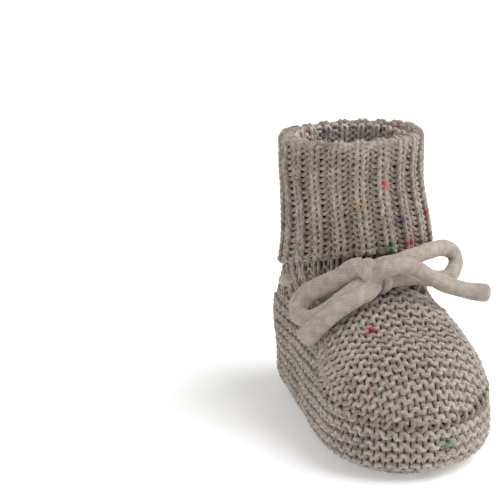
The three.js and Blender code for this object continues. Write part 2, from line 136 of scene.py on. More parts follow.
@dataclass(frozen=True)
class BootieForm:
    """The smooth outside of foot, ankle and leg, with the lines that the panels are cut along."""

    sole_length: float = 105 * MM
    heel_y: float = 50.75 * MM
    ball_radius: float = 27.5 * MM
    heel_radius: float = 24.5 * MM
    bulge_height: float = 13 * MM
    sole_rounding: float = 1.5 * MM
    toe_height: float = 40 * MM
    instep_height: float = 62 * MM
    fabric: float = 3 * MM
    ankle_y: float = 24.25 * MM
    ankle_height: float = 50 * MM
    leg_taper: float = 8 * MM
    ankle_half: tuple[float, float] = (21.8 * MM, 24.5 * MM)
    leg_half: tuple[float, float] = (21.4 * MM, 22.4 * MM)
    lean: float = radians(5)
    leg_start: float = 22 * MM
    crease: float = 10 * MM
    sharp_crease: float = 1 * MM
    crease_fade: tuple[float, float] = (-20 * MM, 15 * MM)
    crease_top: float = 2 * MM
    centre_shift: float = 8 * MM
    axis_change: tuple[float, float] = (34 * MM, 56 * MM)
    band_front: float = 52.5 * MM
    band_back: float = 36 * MM
    band_half: float = 4.5 * MM
    seam_toe: float = 19 * MM
    seam_middle: float = 24 * MM
    seam_end_y: float = -0.75 * MM
    seam_run: float = 30 * MM
    seam_rise: float = 26 * MM
    seam_gap: float = 0.6 * MM
    sole_fullness: float = 3.0
    upper_fullness: float = 2.3
    slope: float = 0.8
    halvings: int = 26
    settling: int = 24
    wobble: float = 0.35 * MM / 1.7
    waves: tuple[tuple[Point, float], ...] = (
        ((0.19, 0.11, 0.0), 1.3),
        ((0.0, 0.23, -0.17), 0.0),
        ((0.13, 0.0, 0.21), 4.0),
    )
    swellings: tuple[Fullness, ...] = (
        Fullness(1, 2.2 * MM, (-14 * MM, 35 * MM), (26 * MM, 10 * MM)),
        Fullness(-1, 1.9 * MM, (30 * MM, 36 * MM), (20 * MM, 16 * MM)),
    )

    @property
    def toe_y(self) -> float:
        """The front of the toe."""
        return self.heel_y - self.sole_length

    @property
    def leg_top(self) -> float:
        """The height at which the leg meets the roll of the cuff."""
        return float(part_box("leg_rib")[1].z)

    def leg_centre_y(self, z: Array | float) -> Array | float:
        """Returns where the leg's axis is at height z."""
        return self.ankle_y - tan(self.lean) * (z - self.ankle_height)

    def foot_field(self, x: Array, y: Array, z: Array) -> Array:
        """Measures how far points are outside the foot alone.

        Args:
            x: Place to the right.
            y: Place to the back.
            z: Height.

        Returns:
            A rough distance, below zero inside.
        """
        heel = self.heel_y - self.heel_radius
        ball = self.toe_y + self.ball_radius
        t = np.clip((heel - y) / (heel - ball), 0, 1)
        radius = mix(self.heel_radius, self.ball_radius, t)
        out = np.hypot(x, y - mix(heel, ball, t)) / radius
        top = mix(self.instep_height, self.toe_height, t)
        above = z > self.bulge_height
        down = (self.bulge_height - z) / (self.bulge_height + self.sole_rounding)
        up = np.where(above, (z - self.bulge_height) / (top - self.bulge_height), down)
        power = np.where(above, self.upper_fullness, self.sole_fullness)
        return ((out ** power + np.abs(up) ** power) ** (1 / power) - 1) * radius * self.slope

    def leg_field(self, x: Array, y: Array, z: Array) -> Array:
        """Measures how far points are outside the ankle and leg alone.

        Args:
            x: Place to the right.
            y: Place to the back.
            z: Height.

        Returns:
            A rough distance, below zero inside.
        """
        share = smooth(z, self.ankle_height, self.ankle_height + self.leg_taper)
        rx = mix(self.ankle_half[0], self.leg_half[0], share)
        ry = mix(self.ankle_half[1], self.leg_half[1], share)
        side = (np.hypot(x / rx, (y - self.leg_centre_y(z)) / ry) - 1) * rx
        return np.maximum(side, self.leg_start - z)

    def field(self, points: Array) -> Array:
        """Measures how far points are outside the form; the crease fades at the heel and up the leg.

        Args:
            points: The points.

        Returns:
            A rough distance, below zero inside.
        """
        x, y, z = points[..., 0], points[..., 1], points[..., 2]
        foot, leg = self.foot_field(x, y, z), self.leg_field(x, y, z)
        back = smooth(y, self.ankle_y + self.crease_fade[0], self.ankle_y + self.crease_fade[1])
        high = smooth(z, self.ankle_height - self.crease_top, self.ankle_height + self.leg_taper)
        fade = np.maximum(back, high)
        k = mix(self.crease, self.sharp_crease, fade)
        h = np.clip(0.5 + 0.5 * (leg - foot) / k, 0, 1)
        return mix(leg, foot, h) - k * h * (1 - h)

    def normal(self, points: Array) -> Array:
        """Finds the outward directions of the form.

        Args:
            points: Points on it.

        Returns:
            A unit vector for each.
        """
        step = 0.05 * MM
        slopes = [self.field(points + step * axis) - self.field(points - step * axis) for axis in np.eye(3)]
        return unit(np.stack(slopes, -1))

    def hit(self, origins: Array, directions: Array, far: float = 0.11) -> Array:
        """Finds where rays from inside the form come out.

        Args:
            origins: Points inside.
            directions: Unit vectors.
            far: A distance that is outside for certain.

        Returns:
            The points on the surface.
        """
        near, beyond = np.zeros(directions.shape[:-1]), np.full(directions.shape[:-1], far)
        for _ in range(self.halvings):
            r = (near + beyond) / 2
            inside = self.field(origins + directions * r[..., None]) < 0
            near, beyond = np.where(inside, r, near), np.where(inside, beyond, r)
        return origins + directions * near[..., None]

    def point(self, angle: Array, z: Array) -> Array:
        """Finds the surface at an angle round the axis and a height.

        Args:
            angle: Radians round from the front; a right angle is the right side.
            z: Height.

        Returns:
            The points on the surface.
        """
        angle, z = np.broadcast_arrays(np.asarray(angle, float), np.asarray(z, float))
        centre = (self.heel_y + self.toe_y) / 2 + self.centre_shift
        y = mix(centre, self.leg_centre_y(z), smooth(z, *self.axis_change))
        flat = np.zeros_like(z)
        return self.hit(np.stack([flat, y, z], -1), np.stack([np.sin(angle), -np.cos(angle), flat], -1))

    def sloped(self, front: float, back: float, y: Array | float) -> Array | float:
        """Returns the height of a line that slopes from the front of the ankle to its back."""
        return mix(front, back, (y - self.ankle_y + self.ankle_half[1]) / (2 * self.ankle_half[1]))

    def band_line(self, y: Array | float) -> Array | float:
        """Returns the height of the lacing line."""
        return self.sloped(self.band_front, self.band_back, y)

    def vamp_line(self, y: Array | float) -> Array | float:
        """Finds the seam round the vamp.

        Args:
            y: Place from toe to heel.

        Returns:
            The seam's height there.
        """
        top = self.band_line(self.seam_end_y) - self.band_half - self.seam_gap
        low = mix(self.seam_toe, self.seam_middle, np.clip((y - self.toe_y) / self.seam_run, 0, 1))
        return mix(low, top, smooth(y, self.toe_y + self.seam_rise, self.seam_end_y) ** 2)

    def side_top(self, y: Array | float) -> Array | float:
        """Returns the height of the side band's upper edge: the vamp's seam, then the eyelet band."""
        return np.where(y < self.seam_end_y, self.vamp_line(y), self.band_line(y) - self.band_half)

    def height_on(self, line: Callable[[Array], Array], angle: Array, start: float) -> Array:
        """Finds the height at which a line on the side of the form is met at each angle.

        Args:
            line: Height of the line as a function of y.
            angle: Radians round from the front.
            start: A height to start from.

        Returns:
            The heights.
        """
        z = np.full(np.shape(angle), start)
        for _ in range(self.settling):
            z = mix(z, line(self.point(angle, z)[..., 1]), 0.5)
        return z

    def unevenness(self, points: Array) -> Array:
        """Measures how far the fabric stands out of the smooth form, by long waves and the swellings.

        Args:
            points: Points on the form.

        Returns:
            The distance at each point.
        """
        waves = sum(np.sin(points / MM @ np.array(turns) + phase) for turns, phase in self.waves)
        fullness = sum(swelling.swell(points) for swelling in self.swellings)
        return self.wobble * waves + fullness


# ---- stitches ------------------------------------------------------------------------------------
class Stitch(Enum):
    """How the loops of a panel go through the fabric."""

    GARTER = "garter"
    RIB = "rib"


@dataclass(frozen=True)
class Gauge:
    """The size of the loops of one panel and of the yarn in them."""

    stitch: Stitch
    width: float
    height: float
    yarn: float
    depth: float
    reach: float = 0.95
    bow: float = 0.13
    relief: float = 1.0 * MM
    wale: float = 0.0
    tight_row: int | None = None
    steps: int = 12
    sides: int = 6
    jitter: float = 0.035
    tightness: float = 0.45

    def row(self, number: int, start: float, end: float, ribs: float,
            rng: np.random.Generator) -> tuple[Array, Array, Array]:
        """Lays one row of loops out flat.

        Args:
            number: The row's number, from the bottom; odd garter rows are purled.
            start: The first stitch, counted in stitches.
            end: Past the last stitch.
            ribs: How much of the ribs' relief the row keeps.
            rng: Source of the small unevenness of handwork.

        Returns:
            For each point of the yarn: place along the row in stitches, place up the panel in rows, and how
            far the yarn stands out of the middle of the fabric, in metres.
        """
        count = max(int(round((end - start) * self.steps)), 2)
        place = np.linspace(start, end, count + 1)
        turn = 2 * pi * place
        stitches = np.floor(place).astype(int) - int(np.floor(start))
        jitter = rng.normal(0, self.jitter, (3, stitches.max() + 2))
        blend = place - np.floor(place)
        slack, shift, puff = (mix(j[stitches], j[stitches + 1], blend) for j in jitter)
        reach = self.reach * (self.tightness if number == self.tight_row else 1.0)
        across = place + self.bow * np.sin(2 * turn) + shift
        up = number - reach * (1 + 2 * slack) * np.cos(turn) + shift
        if self.stitch is Stitch.GARTER:
            out = -np.cos(turn) * (1 if number % 2 == 0 else -1)
        else:
            side = np.where(np.floor(place).astype(int) % 2 == 0, 1.0, -1.0)
            loops = -np.cos(2 * turn) * np.abs(np.sin(turn / 2)) * side
            columns = np.cos(pi * (place - 0.5)) * ribs * self.wale / self.relief
            out = loops + columns
        return across, up, self.relief * (out + puff)


@dataclass
class Strand:
    """One run of yarn: its middle line and the outward direction of the fabric along it."""

    points: Array
    normals: Array
    radius: Array | float


class MeshMaker:
    """Makes mesh objects from arrays, with the seams of their unwrap already laid out."""

    RINGS_PER_LINE = 9
    MARGIN = 0.04

    def __init__(self, name: str) -> None:
        """Starts an empty mesh.

        Args:
            name: Name of the object.
        """
        self.name = name
        self.points: list[Array] = []
        self.corners: list[Array] = []
        self.sizes: list[Array] = []
        self.yarn_uv: list[Array] = []
        self.count = 0
        self.rings = 0
        self.cells: list[tuple[Array, Array, Array]] = []

    def tube(self, strand: Strand, sides: int, flat: float = 1.0,
             frames: tuple[Array, Array] | None = None) -> None:
        """Adds a closed tube along a strand.

        Args:
            strand: The line, its outward directions and its radius.
            sides: Number of sides.
            flat: Thickness over width; 1 is round.
            frames: The section's own axes where they don't follow the fabric.
        """
        p = strand.points
        tangent = unit(np.gradient(p, axis=0))
        if frames is None:
            across = unit(np.cross(tangent, strand.normals))
            outward = np.cross(across, tangent)
        else:
            across, outward = frames
        radius = np.broadcast_to(strand.radius, len(p))[:, None, None]
        phi = 2 * pi * np.arange(sides) / sides
        wide, thick = (turned[None, :, None] for turned in (np.cos(phi), flat * np.sin(phi)))
        section = wide * across[:, None] + thick * outward[:, None]
        ring = p[:, None] + radius * section
        m = len(p)
        i, k = np.meshgrid(np.arange(m - 1), np.arange(sides), indexing="ij")
        a, b = i * sides + k, i * sides + (k + 1) % sides
        quads = np.stack([a, a + sides, b + sides, b], -1).reshape(-1, 4) + self.count
        start = np.arange(sides) + self.count
        end = start[::-1] + (m - 1) * sides
        self.points.append(ring.reshape(-1, 3))
        self.corners += [quads.ravel(), start, end]
        self.sizes.append(np.concatenate([np.full(len(quads), 4), [sides, sides]]))
        length = along(p)
        u = np.stack([length[i], length[i + 1], length[i + 1], length[i]], -1)
        v = np.stack([k, k, k + 1, k + 1], -1) / sides
        self.yarn_uv.append(np.stack([u, v], -1).reshape(-1, 2))
        caps = np.stack([np.tile([0.0, length[-1]], (sides, 1)).T.ravel(), np.full(2 * sides, 0.5)], -1)
        self.yarn_uv.append(caps)
        cell = i + self.rings
        self.cells.append((np.stack([cell, cell, cell, cell], -1).ravel(),
                           np.tile([0.0, 1.0, 1.0, 0.0], len(quads)), v.ravel()))
        turn = np.concatenate([phi, phi[::-1]])
        self.cells.append((np.full(2 * sides, self.rings + m - 1), 0.5 + 0.4 * np.cos(turn),
                           0.5 + 0.4 * np.sin(turn) / sides))
        self.count += m * sides
        self.rings += m

    def shell(self, outer: Array, inner: Array) -> None:
        """Adds a thin closed sheet between two grids of points.

        Args:
            outer: The grid on the outer face, rows by columns by three.
            inner: The grid on the inner face.
        """
        rows, columns = outer.shape[:2]
        index = np.arange(rows * columns).reshape(rows, columns) + self.count
        face = np.stack([index[:-1, :-1], index[:-1, 1:], index[1:, 1:], index[1:, :-1]], -1).reshape(-1, 4)
        back = face[:, ::-1] + rows * columns
        rim = np.concatenate([index[0, :-1], index[:-1, -1], index[-1, :0:-1], index[:0:-1, 0]])
        following = np.roll(rim, -1)
        edge = np.stack([rim, rim + rows * columns, following + rows * columns, following], -1)
        quads = np.concatenate([face, back, edge])
        self.points += [outer.reshape(-1, 3), inner.reshape(-1, 3)]
        self.corners.append(quads.ravel())
        self.sizes.append(np.full(len(quads), 4))
        self.count += 2 * index.size

    def build(self, material: bpy.types.Material) -> bpy.types.Object:
        """Makes the object.

        Args:
            material: Its material.

        Returns:
            The object, linked to the scene.
        """
        points, corners = np.concatenate(self.points), np.concatenate(self.corners)
        sizes = np.concatenate(self.sizes)
        mesh = bpy.data.meshes.new(self.name)
        mesh.vertices.add(len(points))
        mesh.vertices.foreach_set("co", points.astype(np.float32).ravel())
        mesh.loops.add(len(corners))
        mesh.loops.foreach_set("vertex_index", corners.astype(np.int32))
        mesh.polygons.add(len(sizes))
        starts = np.concatenate([[0], np.cumsum(sizes)[:-1]])
        mesh.polygons.foreach_set("loop_start", starts.astype(np.int32))
        if self.cells:
            self.unwrap(mesh)
        mesh.update(calc_edges=True)
        mesh.validate()
        mesh.shade_smooth()
        mesh.materials.append(material)
        piece = bpy.data.objects.new(self.name, mesh)
        bpy.context.scene.collection.objects.link(piece)
        return piece

    def unwrap(self, mesh: bpy.types.Mesh) -> None:
        """Lays the rings of all tubes out in lines that fill a square, and keeps each tube's own measure.

        Args:
            mesh: The mesh that gets the two maps.
        """
        cell = np.concatenate([c for c, _, _ in self.cells])
        u, v = (np.concatenate([c[i] for c in self.cells]) for i in (1, 2))
        lines = max(int(round((self.rings / self.RINGS_PER_LINE) ** 0.5)), 1)
        per_line = int(np.ceil(self.rings / lines))
        along_line = cell % per_line + u
        up_line = cell // per_line + mix(self.MARGIN, 1 - self.MARGIN, v)
        baked = np.stack([along_line / per_line, up_line / lines], -1)
        for name, values in (("OFBake", baked), ("Yarn", np.concatenate(self.yarn_uv))):
            layer = mesh.uv_layers.new(name=name)
            layer.uv.foreach_set("vector", values.astype(np.float32).ravel())


def runs(inside: Array, shortest: int) -> Iterable[slice]:
    """Finds the unbroken runs of a row that are inside its panel.

    Args:
        inside: Whether each point of the row is inside.
        shortest: The fewest points worth keeping.

    Yields:
        One slice for each run.
    """
    edges = np.flatnonzero(np.diff(np.concatenate([[0], inside.astype(int), [0]])))
    for start, end in zip(edges[::2], edges[1::2]):
        if end - start >= shortest:
            yield slice(start, end)


# ---- shader language -----------------------------------------------------------------------------
class Value:
    """A number that varies over a surface. Arithmetic on it adds Math nodes."""

    def __init__(self, tree: "Shader", socket: bpy.types.NodeSocket) -> None:
        """Wraps the socket of a tree that carries the number."""
        self.tree = tree
        self.socket = socket

    def math(self, operation: str, *others: "Value | float",
             first: "Value | float | None" = None) -> "Value":
        """Adds one Math node on first, if given, this and the others, and returns the result."""
        operands = ([] if first is None else [first]) + [self, *others]
        return self.tree.node("ShaderNodeMath", {"operation": operation}, dict(enumerate(operands)))

    def __add__(self, other: "Value | float") -> "Value":
        """Returns the sum."""
        return self.math("ADD", other)

    __radd__ = __add__

    def __mul__(self, other: "Value | float") -> "Value":
        """Returns the product."""
        return self.math("MULTIPLY", other)

    __rmul__ = __mul__

    def __sub__(self, other: "Value | float") -> "Value":
        """Returns this less the other."""
        return self.math("SUBTRACT", other)

    def __rsub__(self, other: float) -> "Value":
        """Returns the other less this."""
        return self.math("SUBTRACT", first=other)

    def __truediv__(self, other: "Value | float") -> "Value":
        """Returns the quotient."""
        return self.math("DIVIDE", other)

    def sine(self) -> "Value":
        """Returns the sine."""
        return self.math("SINE")

    def power(self, exponent: float) -> "Value":
        """Returns this to the given power."""
        return self.math("POWER", exponent)

    def step(self, lo: float, hi: float) -> "Value":
        """Adds a smooth step.

        Args:
            lo: Where it starts to rise from 0.
            hi: Where it reaches 1.

        Returns:
            The step.
        """
        settings = {"interpolation_type": "SMOOTHSTEP"}
        inputs = {"Value": self, "From Min": lo, "From Max": hi}
        return self.tree.node("ShaderNodeMapRange", settings, inputs)


class Shader:
    """The nodes of one material."""

    def __init__(self, name: str) -> None:
        """Starts a material with a Principled shader.

        Args:
            name: Name of the material.
        """
        self.material = bpy.data.materials.new(name)
        self.material.use_nodes = True
        self.nodes = self.material.node_tree.nodes
        self.links = self.material.node_tree.links
        self.principled = next(n for n in self.nodes if n.type == "BSDF_PRINCIPLED")

    def node(self, kind: str, settings: dict[str, object], inputs: dict[int | str, object],
             output: int | str = 0) -> Value:
        """Adds a node.

        Args:
            kind: Blender's name of the node type.
            settings: Properties that are set first.
            inputs: Values or links, by socket name or number.
            output: Which output to return.

        Returns:
            The output asked for.
        """
        made = self.nodes.new(kind)
        for key, value in settings.items():
            if key == "stops":
                self.stops(made, value)
            elif key == "between_stops":
                made.color_ramp.interpolation = value
            else:
                setattr(made, key, value)
        for key, value in inputs.items():
            self.plug(made.inputs[key], value)
        return Value(self, made.outputs[output])

    def stops(self, ramp: bpy.types.Node, stops: Sequence[tuple[float, tuple]]) -> None:
        """Sets the colours of a ramp.

        Args:
            ramp: The ramp's node.
            stops: Position and colour of each stop, in order.
        """
        elements = ramp.color_ramp.elements
        while len(elements) < len(stops):
            elements.new(1.0)
        for element, (position, colour) in zip(elements, stops):
            element.position = position
            element.color = colour

    def plug(self, socket: bpy.types.NodeSocket, value: object) -> None:
        """Sets a socket.

        Args:
            socket: The socket.
            value: A value to link, or a plain number or colour to set.
        """
        if isinstance(value, Value):
            self.links.new(value.socket, socket)
        else:
            socket.default_value = value

    def colours(self, share: "Value | float", a: object, b: object, blend: str = "MIX") -> Value:
        """Mixes colours a and b by a share, with one of Blender's blends, and returns the mix."""
        inputs = {0: share, 6: a, 7: b}
        return self.node("ShaderNodeMix", {"data_type": "RGBA", "blend_type": blend}, inputs, 2)

    def place(self, scale: float) -> Value:
        """Returns the place on the object, scaled, as a vector."""
        spot = self.node("ShaderNodeTexCoord", {}, {}, "Object")
        return self.node("ShaderNodeVectorMath", {"operation": "SCALE"}, {0: spot, "Scale": scale})

    def noise(self, place: Value, size: float, detail: float = 2.0) -> Value:
        """Returns soft noise whose blobs are about one over size across, in the units of place."""
        return self.node("ShaderNodeTexNoise", {}, {"Vector": place, "Scale": size, "Detail": detail}, "Fac")

    def surface(self, colour: object, roughness: object, height: Value, depth: float) -> None:
        """Connects colour, roughness and relief to the shader.

        Args:
            colour: Base colour.
            roughness: Roughness.
            height: Relief, from 0 to 1.
            depth: What a relief of 1 stands for, in metres.
        """
        bump = self.node("ShaderNodeBump", {}, {"Height": height, "Distance": depth, "Strength": 1.0})
        for name, value in (("Base Color", colour), ("Roughness", roughness), ("Normal", bump)):
            self.plug(self.principled.inputs[name], value)


HEATHER = (0.3, 0.7)


def paint(red: int, green: int, blue: int) -> tuple[float, float, float, float]:
    """Turns a colour as painters mix it into the linear one that shaders use.

    Args:
        red: Its red part, from 0 to 255.
        green: Its green part.
        blue: Its blue part.

    Returns:
        The linear colour, opaque.
    """
    parts = [c / 255 for c in (red, green, blue)]
    linear = [c / 12.92 if c <= 0.04045 else ((c + 0.055) / 1.055) ** 2.4 for c in parts]
    return (*linear, 1.0)


# ---- finishes ------------------------------------------------------------------------------------
@dataclass(frozen=True)
class WoolFinish:
    """Heathered wool yarn with a two-ply twist and a few coloured flecks spun into it."""

    name: str
    light: tuple
    middle: tuple
    dark: tuple
    flecks: bool = True
    pitch: float = 3.4 * MM
    relief: float = 0.16 * MM
    sheen: float = 0.25
    fibre_size: float = 3.1
    heather_size: float = 0.55
    drift_size: float = 0.06
    fleck_gap: float = 10.5
    fleck_bend: float = 2.4
    fleck_edge: tuple[float, float] = (0.06, 0.3)
    fleck_strength: float = 0.75
    drift_share: float = 0.35
    fibre_share: float = 0.3
    ply_groove_shade_share: float = 0.35

    def flecked(self, tree: Shader, place: Value, colour: Value) -> Value:
        """Adds the flecks: a stitch or two of dyed fibre here and there.

        Args:
            tree: The material.
            place: Place on the object in millimetres.
            colour: The colour below.

        Returns:
            The colour with flecks.
        """
        wave = {"Vector": place, "Scale": 0.5, "Detail": 1.0}
        warp = tree.node("ShaderNodeTexNoise", {}, wave, "Color")
        bend = {"operation": "MULTIPLY_ADD"}
        bent = tree.node("ShaderNodeVectorMath", bend, {0: warp, 1: (self.fleck_bend,) * 3, 2: place})
        cells = {"Vector": bent, "Scale": 1 / self.fleck_gap, "Randomness": 1.0}
        distance = tree.node("ShaderNodeTexVoronoi", {}, cells, "Distance")
        chance = tree.node("ShaderNodeTexVoronoi", {}, cells, "Color")
        parts = {"mode": "RGB"}
        pick = tree.node("ShaderNodeSeparateColor", parts, {0: chance}, 0)
        strength = tree.node("ShaderNodeSeparateColor", parts, {0: chance}, 1)
        stops = ((0.0, paint(150, 52, 60)), (0.24, paint(178, 84, 92)), (0.42, paint(64, 104, 76)),
                 (0.60, paint(170, 128, 56)), (0.78, paint(52, 60, 100)))
        ramp = {"stops": stops, "between_stops": "CONSTANT"}
        dyes = tree.node("ShaderNodeValToRGB", ramp, {0: pick})
        near = 1 - distance.step(*self.fleck_edge)
        return tree.colours(near * strength.step(0.4, 0.56) * self.fleck_strength, colour, dyes)

    def make(self) -> bpy.types.Material:
        """Makes the material.

        Returns:
            The material.
        """
        tree = Shader(self.name)
        place = tree.place(1 / MM)
        spun = tree.node("ShaderNodeUVMap", {"uv_map": "Yarn"}, {})
        length = tree.node("ShaderNodeSeparateXYZ", {}, {0: spun}, 0)
        round_it = tree.node("ShaderNodeSeparateXYZ", {}, {0: spun}, 1)
        plies = (length * (2 * pi / self.pitch) + round_it * (4 * pi)).sine() * 0.5 + 0.5
        fuzz = {"Vector": place, "Scale": self.fibre_size, "Detail": 3.0, "Roughness": 0.7}
        fibres = tree.node("ShaderNodeTexNoise", {}, fuzz, "Fac")
        heather = tree.noise(place, self.heather_size, 3.0)
        drift = tree.noise(place, self.drift_size, 1.0)
        colour = tree.colours(heather.step(*HEATHER), self.dark, self.light)
        colour = tree.colours(0.5, colour, self.middle)
        colour = tree.colours(drift.step(0.35, 0.7) * self.drift_share, colour, self.light)
        colour = tree.colours(fibres.step(0.4, 0.75) * self.fibre_share, colour, self.light)
        # painted shade: the wool is darkened in the grooves between its two plies, where shade falls
        ply_groove_shade = 1 - plies.step(0.0, 0.35)
        colour = tree.colours(ply_groove_shade * self.ply_groove_shade_share, colour, self.dark)
        if self.flecks:
            colour = self.flecked(tree, place, colour)
        tree.surface(colour, 0.86 + 0.12 * heather, plies.power(0.7) * 0.75 + fibres * 0.4, self.relief)
        tree.principled.inputs["Sheen Weight"].default_value = self.sheen
        tree.principled.inputs["Sheen Roughness"].default_value = 0.5
        tree.principled.inputs["Specular IOR Level"].default_value = 0.2
        return tree.material


@dataclass(frozen=True)
class PaintedShadeLiningFinish:
    """Painted shade: the back of the knit, coloured dark for the shade behind the stitches and inside the
    foot, seen through the gaps between stitches and from inside.
    """

    name: str = "shaded_wool"
    # painted shade: these dark browns stand for the shade behind the stitches and inside the foot
    light: tuple = paint(84, 73, 63)
    dark: tuple = paint(50, 42, 35)

    def make(self) -> bpy.types.Material:
        """Makes the material.

        Returns:
            The material.
        """
        tree = Shader(self.name)
        place = tree.place(1 / MM)
        fluff = tree.noise(place, 1.3, 4.0)
        loops = tree.node("ShaderNodeTexVoronoi", {}, {"Vector": place, "Scale": 0.55}, "Distance")
        colour = tree.colours(fluff.step(*HEATHER), self.dark, self.light)
        tree.surface(colour, 0.9 + 0.1 * fluff, fluff * 0.6 + loops, 0.5 * MM)
        tree.principled.inputs["Specular IOR Level"].default_value = 0.1
        return tree.material


@dataclass(frozen=True)
class JerseyFinish:
    """Fine tubular jersey: tiny slanting stitches in wales along the tie."""

    name: str = "tie_jersey"
    light: tuple = paint(174, 164, 154)
    middle: tuple = paint(150, 139, 129)
    dark: tuple = paint(104, 91, 82)
    wales: int = 18
    course: float = 0.8 * MM
    twist: float = 2.2 * MM
    relief: float = 0.16 * MM
    blush: tuple = paint(170, 138, 140)
    blush_share: float = 0.25
    wale_groove_shade_share: float = 0.3
    course_groove_shade_share: float = 0.1

    def make(self) -> bpy.types.Material:
        """Makes the material.

        Returns:
            The material.
        """
        tree = Shader(self.name)
        place = tree.place(1 / MM)
        spun = tree.node("ShaderNodeUVMap", {"uv_map": "Yarn"}, {})
        length = tree.node("ShaderNodeSeparateXYZ", {}, {0: spun}, 0)
        round_it = tree.node("ShaderNodeSeparateXYZ", {}, {0: spun}, 1)
        wale = (round_it * (pi * self.wales) + length * (pi / self.twist)).sine().math("ABSOLUTE")
        course = (length * (2 * pi / self.course) + wale * 3.0).sine() * 0.5 + 0.5
        heather = tree.noise(place, 0.45, 3.0)
        threads = tree.noise(place, 2.6, 2.0)
        colour = tree.colours(heather.step(*HEATHER), self.middle, self.light)
        # painted shade: the jersey is darkened in the grooves between its wales and between its courses
        colour = tree.colours((1 - wale.step(0.0, 0.5)) * self.wale_groove_shade_share, colour, self.dark)
        colour = tree.colours((1 - course.step(0.0, 0.6)) * self.course_groove_shade_share, colour, self.dark)
        blush = tree.noise(place, 0.11, 1.0).step(0.5, 0.75)
        colour = tree.colours(blush * self.blush_share, colour, self.blush)
        relief = wale.power(0.6) * 0.6 + course * 0.12 + threads * 0.4
        tree.surface(colour, 0.82 + 0.15 * heather, relief, self.relief)
        tree.principled.inputs["Sheen Weight"].default_value = 0.2
        tree.principled.inputs["Specular IOR Level"].default_value = 0.2
        return tree.material


@dataclass(frozen=True)
class FloorFinish:
    """A matt, nearly white studio floor."""

    name: str = "studio_floor"
    tone: float = 0.9
    glow: float = 0.25

    def make(self) -> bpy.types.Material:
        """Makes the material.

        Returns:
            The material.
        """
        tree = Shader(self.name)
        cloud = tree.noise(tree.place(1.0), 3.0, 2.0)
        pale = (self.tone, self.tone, self.tone * 0.995, 1.0)
        colour = tree.colours(cloud * 0.03, pale, (self.tone * 0.96,) * 3 + (1.0,))
        tree.surface(colour, 0.7 + 0.1 * cloud, cloud, 0.01 * MM)
        tree.principled.inputs["Emission Color"].default_value = (1.0, 1.0, 1.0, 1.0)
        tree.principled.inputs["Emission Strength"].default_value = self.glow
        return tree.material


@dataclass(frozen=True)
class Finishes:
    """The materials of the whole bootie."""

    garter: bpy.types.Material
    # painted shade: the rib finish is a darker copy of the wool, for the shade on the upright cuff and leg
    rib: bpy.types.Material
    # painted light: a paler copy of the wool, for the lit inside of the leg's top
    inner: bpy.types.Material
    seam: bpy.types.Material
    lining: bpy.types.Material
    jersey: bpy.types.Material

    @classmethod
    def mixed(cls) -> "Finishes":
        """Makes every material.

        Returns:
            The set.
        """
        light, middle, dark = paint(188, 180, 173), paint(154, 143, 133), paint(98, 85, 75)
        return cls(
            WoolFinish("garter_wool", light, middle, dark).make(),
            # painted shade: the rib wool keeps the garter's light tone but takes darker middle and dark
            # tones, for the shade on the upright cuff and leg
            WoolFinish("rib_wool", light, paint(134, 119, 106), paint(86, 71, 59)).make(),
            # painted light: a paler copy of the wool, for the lit inside of the leg's top seen behind the
            # roll
            WoolFinish("inner_wool_painted_light", paint(208, 202, 196), paint(184, 175, 166), middle).make(),
            WoolFinish("seam_yarn", middle, paint(140, 129, 119), dark, flecks=False).make(),
            PaintedShadeLiningFinish().make(),
            JerseyFinish().make(),
        )


# ---- knitted panels ------------------------------------------------------------------------------
@dataclass
class Panel:
    """A knitted panel: rows of yarn over a dark lining that paints the shade behind the stitches. A kind of
    panel says where its rows lie.
    """

    form: BootieForm
    finishes: Finishes
    name: str
    body: str
    gauge: Gauge
    slot: str
    seed: int
    lining_depth: float = 2.7 * MM
    lining_thickness: float = 0.4 * MM
    edge: float = 0.1
    lining_edge: float = 0.05
    seam_room: float = 0.3 * MM

    @property
    def finish(self) -> bpy.types.Material:
        """The finish of the panel's yarn."""
        return self.finishes.rib if self.gauge.stitch is Stitch.RIB else self.finishes.garter

    def rows(self) -> Iterable[tuple[int, float, float]]:
        """Yields each row's number with the first and last place along it, in stitches."""
        raise NotImplementedError

    def place(self, number: int, across: Array, up: Array) -> tuple[Array, Array]:
        """Returns the points and outward directions of places in a row."""
        raise NotImplementedError

    def covers(self, points: Array) -> Array:
        """Returns which points are inside the panel's edges."""
        return np.ones(len(points), bool)

    def ribs(self, number: int) -> float:
        """Returns how much of the ribs' relief a row keeps."""
        return 1.0

    def lining_grid(self) -> tuple[Array, Array]:
        """Returns a grid of surface points over the panel, and their outward directions."""
        raise NotImplementedError

    def knit(self) -> bpy.types.Object:
        """Knits the panel's rows.

        Returns:
            The yarn of the whole panel as one piece.
        """
        rng = np.random.default_rng(self.seed)
        maker = MeshMaker(f"{self.name}_knit")
        for number, start, end in self.rows():
            across, up, out = self.gauge.row(number, start, end, self.ribs(number), rng)
            points, normals = self.place(number, across, up)
            lifted = points + normals * (out - self.gauge.depth + self.form.unevenness(points))[:, None]
            lifted[:, 2] = np.maximum(lifted[:, 2], self.gauge.yarn)
            inside = self.covers(points)
            for run in runs(inside, self.gauge.steps // 2):
                maker.tube(Strand(lifted[run], normals[run], self.gauge.yarn), self.gauge.sides)
        return maker.build(self.finish)

    def line(self) -> bpy.types.Object:
        """Makes the lining behind the rows, a dark sheet of painted shade between the stitches.

        Returns:
            The lining.
        """
        points, normals = self.lining_grid()
        maker = MeshMaker(f"{self.name}_lining")
        lift = (self.form.unevenness(points) - self.lining_depth)[..., None]
        half = self.lining_thickness / 2
        maker.shell(points + normals * (lift + half), points + normals * (lift - half))
        return maker.build(self.finishes.lining)

    def make(self) -> list[bpy.types.Object]:
        """Makes the panel and ties it to the frame.

        Returns:
            Its pieces.
        """
        pieces = [self.knit(), self.line()]
        for piece in pieces:
            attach(piece, self.body)
        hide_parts(self.name)
        return pieces


